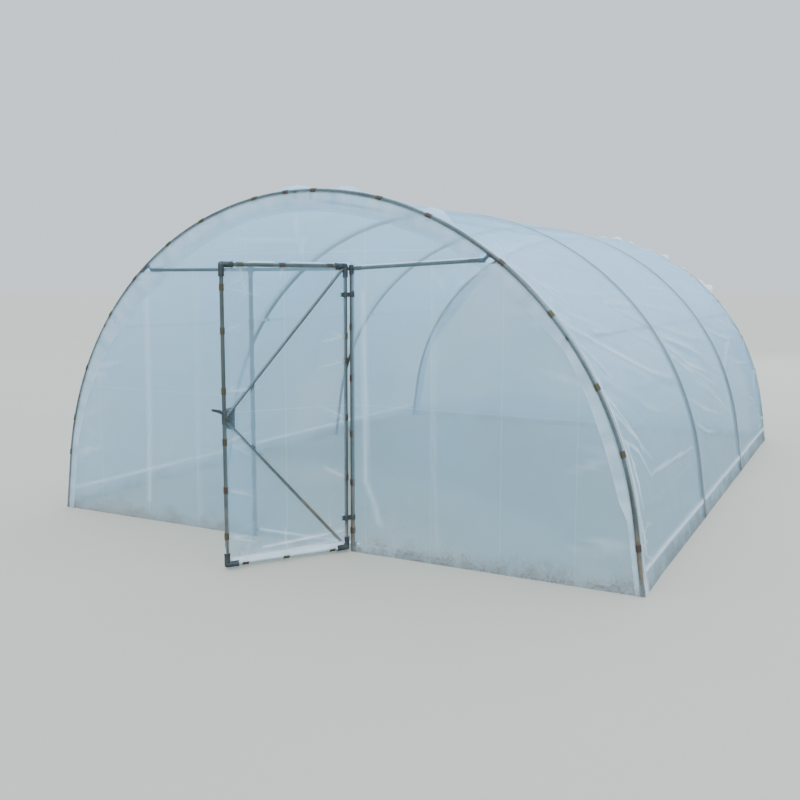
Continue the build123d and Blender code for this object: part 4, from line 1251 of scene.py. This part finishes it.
def hex_bolt(name, across, height, stud=0.0):
    """A bolt head lying on Z = 0 and pointing up: washer, chamfered hexagon and the thread's end."""
    deselect()
    radius = across / 2
    bpy.ops.mesh.primitive_cylinder_add(
        vertices=16, radius=radius * 1.28, depth=WASHER, location=(0, 0, WASHER / 2)
    )
    washer = bpy.context.object
    edit(washer, "edges", upper_edge)
    bpy.ops.mesh.bevel(offset=0.3 * MM, segments=1)
    bpy.ops.object.mode_set(mode="OBJECT")
    bpy.ops.mesh.primitive_cylinder_add(
        vertices=6, radius=radius / cos(pi / 6), depth=height, location=(0, 0, WASHER + height / 2)
    )
    head = bpy.context.object
    edit(head, "faces", top_face)
    bpy.ops.mesh.inset(thickness=0.9 * MM, depth=0.7 * MM)
    if stud:
        bpy.ops.mesh.inset(thickness=across * 0.18, depth=0)
        bpy.ops.mesh.extrude_region_move(TRANSFORM_OT_translate={"value": (0, 0, stud)})
        bpy.ops.mesh.inset(thickness=0.8 * MM, depth=0.6 * MM)
    else:
        bpy.ops.mesh.inset(thickness=across * 0.12, depth=-0.5 * MM)
    deselect()
    for part in (washer, head):
        part.select_set(True)
    bpy.context.view_layer.objects.active = head
    bpy.ops.object.join()
    return settle(head, name)


def set_screw(name, radius):
    """A socket screw's end lying on Z = 0 and pointing up, with its hexagon socket sunk in."""
    deselect()
    bpy.ops.mesh.primitive_cylinder_add(vertices=18, radius=radius, depth=2 * MM, location=(0, 0, 0))
    screw = bpy.context.object
    edit(screw, "faces", top_face)
    bpy.ops.mesh.inset(thickness=0.5 * MM, depth=0.4 * MM)
    bpy.ops.mesh.inset(thickness=radius * 0.35, depth=0)
    bpy.ops.mesh.extrude_region_move(TRANSFORM_OT_translate={"value": (0, 0, -1.6 * MM)})
    bpy.ops.object.mode_set(mode="OBJECT")
    return settle(screw, name)


def scatter(model, name, spots, body):
    """Copies of a model at (place, direction, turn), joined into one piece that rides on a body."""
    copies = []
    for place, direction, turn in spots:
        copy = model.copy()
        copy.data = model.data.copy()
        bpy.context.scene.collection.objects.link(copy)
        aim = Vector(direction).normalized().to_track_quat("Z", "Y").to_matrix().to_4x4()
        copy.data.transform(Matrix.Translation(place) @ aim @ Matrix.Rotation(turn, 4, "Z"))
        copies.append(copy)
    deselect()
    for copy in copies:
        copy.select_set(True)
    bpy.context.view_layer.objects.active = copies[0]
    bpy.ops.object.join()
    piece = bpy.context.view_layer.objects.active
    piece.name = piece.data.name = name
    dress(piece, "fitting")
    bpy.ops.object.shade_smooth_by_angle(angle=radians(32))
    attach(piece, body)


def on_leaf(x, y, z, turn, facing=-1):
    """A spot on the shut leaf, facing out or in, as it stands when the leaf is open."""
    way = swing(np.array([0, facing, 0.0])) - swing(np.zeros(3))
    return tuple(swing(np.array([x, y, z]))), tuple(way), turn


class TUNNEL_OT_bolts(bpy.types.Operator):
    """Add the bolts, nuts and set screws of the clamps, hinges and corner fittings"""

    bl_idname = "tunnel.bolts"
    bl_label = "Bolts and screws"

    def execute(self, context):
        settings = context.scene.tunnel.metal
        across, height = settings.bolt_across, settings.bolt_height
        bolt = hex_bolt("bolt_model", across, height)
        nut = hex_bolt("nut_model", across, height * 0.95, 5 * MM)
        screw = set_screw("screw_model", SCREW_R)

        clamps = []
        for angle, tie in ((91.5, BAR_TUBE), (36.4, PURLIN_TUBE), (180 - 36.4, PURLIN_TUBE)):
            a = radians(angle)
            reach = ARC_R - (HOOP_TUBE + tie + TIE_GAP) - (tie + CLAMP_FACE)
            for i, inward in enumerate((CLAMP_SHIFT, 0, 0, -CLAMP_SHIFT)):
                spot = (reach * cos(a), FRONT_Y + HOOPS[i] + inward, ARC_Z + reach * sin(a))
                clamps.append((spot, (-cos(a), 0, -sin(a)), 0.4 * i))
        scatter(nut, "purlin_clamp_nuts", clamps, "frame")

        doorway = []
        for x, side, _ in BARS:
            front = (x, FRONT_Y - ELBOW_R + 0.5 * MM, BAR_Z - POST_SCREW_DROP)
            under = (x + side * BAR_SCREW_OUT, FRONT_Y, BAR_Z - BAR_SCREW_DROP)
            doorway += [(front, (0, -1, 0), 0.0), (under, (0, 0, -1), 0.3)]
        scatter(screw, "post_top_screws", doorway, "frame")
        back_y = FRONT_Y + HEADER_BACK + BAR_TUBE + HEADER_CLAMP_FACE
        back = [((x, back_y, z), (0, 1, 0), 0.2) for x in (LATCH_X, HINGE_X) for z in (BAR_Z, SILL_Z)]
        scatter(bolt, "door_frame_bolts", back, "frame")

        ear_x = -STILE_REACH - EAR_OUT
        pinch = hex_bolt("pinch_model", PINCH_ACROSS, PINCH_HEIGHT)
        scatter(pinch, "hinge_pinch_bolts", [on_leaf(ear_x, -EAR_HALF, z, 0.2) for z in HINGE_Z], "door")
        scatter(nut, "hinge_pinch_nuts", [on_leaf(ear_x, EAR_HALF, z, 0.5, 1) for z in HINGE_Z], "door")
        gusset = [
            on_leaf(-FREE_REACH + dx, GUSSET_FACE, BRACE_Z + dz, dz * 9, 1) for dx, dz in GUSSET_BOLTS
        ]
        scatter(bolt, "gusset_bolts", gusset, "door")
        screws = []
        tip = -ELBOW_R - ELBOW_FACE
        for x, run_x, z, run_z in CORNERS:
            screws.append(on_leaf(x, tip, z + run_z * ELBOW_ARM / 2, 0.0))
            screws.append(on_leaf(x + run_x * ELBOW_ARM / 2, tip, z, 0.4))
        scatter(screw, "corner_set_screws", screws, "door")
        for model in (bolt, nut, screw, pinch):
            bpy.data.objects.remove(model)
        return {"FINISHED"}


class TUNNEL_OT_frame_finish(bpy.types.Operator):
    """Give the tubes, fittings and clips of the frame their finishes"""

    bl_idname = "tunnel.frame_finish"
    bl_label = "Frame finishes"

    def execute(self, context):
        finishes = {"galvanised_tube": "tube", "galvanised_fitting": "fitting", "clip_plastic": "clip"}
        slots = {part["node"]: part["material_slot"] for part in frame["record"]["subparts"]}
        for node, piece in frame["nodes"].items():
            if slots[node] in finishes:
                dress(piece, finishes[slots[node]])
        # Painted light: the left purlin, the sill and the bottom rail get the lighter zinc, so that they show
        # bright
        for node in ("left_purlin", "door_sill", "bottom_rail"):
            dress(frame["nodes"][node], "lit_tube")
        return {"FINISHED"}


# Stage

FLOOR_SIZE = 900
# Shares of the soft light's colours near the horizon and overhead, and the heights between which they blend
SKY_LOW = 0.84
SKY_HIGH = 2.5
SKY_BLEND = (0.30, 0.85)
# Where the lamps and the camera stand, and the ways they point
KEY_WAY = (-0.40, 0.78, -0.66)
KEY_SPREAD = radians(9)
RIM_SPOT = (2.5, 17.0, 9.5)
RIM_WAY = (-0.7, -16.5, -7.9)
RIM_SIZE = 13.0
RIM_COLOUR = (0.62, 0.81, 1.0)
CAMERA_SPOT = (3.727, -8.558, 1.925)
CAMERA_TURN = (radians(82.969), radians(-0.108), radians(27.724))
SENSOR_WIDTH = 36.0
VIEW_DEPTH = 300


def aimed(way):
    """The turn that points a lamp along a way."""
    return Vector(way).to_track_quat("-Z", "Y").to_euler()


def place_in_scene(name, data, spot, turn):
    """A lamp or camera set in the scene."""
    made = bpy.data.objects.new(name, data)
    made.location = spot
    made.rotation_euler = turn
    bpy.context.scene.collection.objects.link(made)
    return made


class TUNNEL_OT_stage(bpy.types.Operator):
    """Set the floor, the soft lights and the camera"""

    bl_idname = "tunnel.stage"
    bl_label = "Stage"

    def execute(self, context):
        settings = context.scene.tunnel.stage
        deselect()
        bpy.ops.mesh.primitive_plane_add(size=FLOOR_SIZE, location=(0, 0, 0))
        floor = bpy.context.object
        floor.name = "floor"
        dress(floor, "floor")

        # Soft light all round, cooler and stronger from above
        world = bpy.data.worlds.new("studio")
        world.use_nodes = True
        world.node_tree.nodes.clear()
        context.scene.world = world
        add = partial(add_node, world.node_tree)
        up = add("SeparateXYZ", (add("TexCoord", out="Generated"),), "Z")
        ends = {
            end: (*(strength * c for c in tint), 1.0)
            for end, strength, tint in (("A", SKY_LOW, settings.sky), ("B", SKY_HIGH, settings.zenith))
        }
        overhead = add("MapRange", (up, *SKY_BLEND), **SMOOTH)
        glow = add("Mix", {"Factor": overhead, **ends}, "Result", data_type="RGBA")
        sky = add("Background", {"Color": glow, "Strength": settings.sky_light})
        add("OutputWorld", {"Surface": sky})

        key = bpy.data.lights.new("key", "SUN")
        key.energy = settings.key_light
        key.angle = KEY_SPREAD
        place_in_scene("key", key, (0, 0, 0), aimed(KEY_WAY))
        rim = bpy.data.lights.new("rim", "AREA")
        rim.size = RIM_SIZE
        rim.color = RIM_COLOUR
        rim.energy = settings.rim_light
        place_in_scene("rim", rim, RIM_SPOT, aimed(RIM_WAY)).visible_camera = False

        lens = bpy.data.cameras.new("camera")
        lens.lens = settings.lens
        lens.sensor_width = SENSOR_WIDTH
        lens.clip_end = VIEW_DEPTH
        context.scene.camera = place_in_scene("camera", lens, CAMERA_SPOT, CAMERA_TURN)
        return {"FINISHED"}


class TUNNEL_PT_panel(bpy.types.Panel):
    """Sidebar panel with the tunnel's settings and steps."""

    bl_label = "Film Tunnel"
    bl_idname = "TUNNEL_PT_panel"
    bl_space_type = "VIEW_3D"
    bl_region_type = "UI"
    bl_category = "Tunnel"

    def draw(self, context):
        tunnel = context.scene.tunnel
        for title in ("Film", "Metal", "Clips", "Stage"):
            group = getattr(tunnel, title.lower())
            box = self.layout.box()
            box.label(text=title)
            for key in group.__annotations__:
                box.prop(group, key)
        for step in STEPS:
            self.layout.operator(step.bl_idname)


STEPS = (
    TUNNEL_OT_stage,
    TUNNEL_OT_frame_finish,
    TUNNEL_OT_cover_film,
    TUNNEL_OT_front_gable,
    TUNNEL_OT_rear_gable,
    TUNNEL_OT_leaf_film,
    TUNNEL_OT_bolts,
)
CLASSES = (FilmSettings, MetalSettings, ClipSettings, StageSettings, TunnelSettings, *STEPS, TUNNEL_PT_panel)


def register():
    for item in CLASSES:
        bpy.utils.register_class(item)
    bpy.types.Scene.tunnel = PointerProperty(type=TunnelSettings)


def unregister():
    del bpy.types.Scene.tunnel
    for item in reversed(CLASSES):
        bpy.utils.unregister_class(item)


def main():
    register()
    bpy.ops.tunnel.stage()
    bpy.ops.tunnel.frame_finish()
    bpy.ops.tunnel.cover_film()
    bpy.ops.tunnel.front_gable()
    bpy.ops.tunnel.rear_gable()
    bpy.ops.tunnel.leaf_film()
    bpy.ops.tunnel.bolts()


if __name__ == "__main__":
    main()
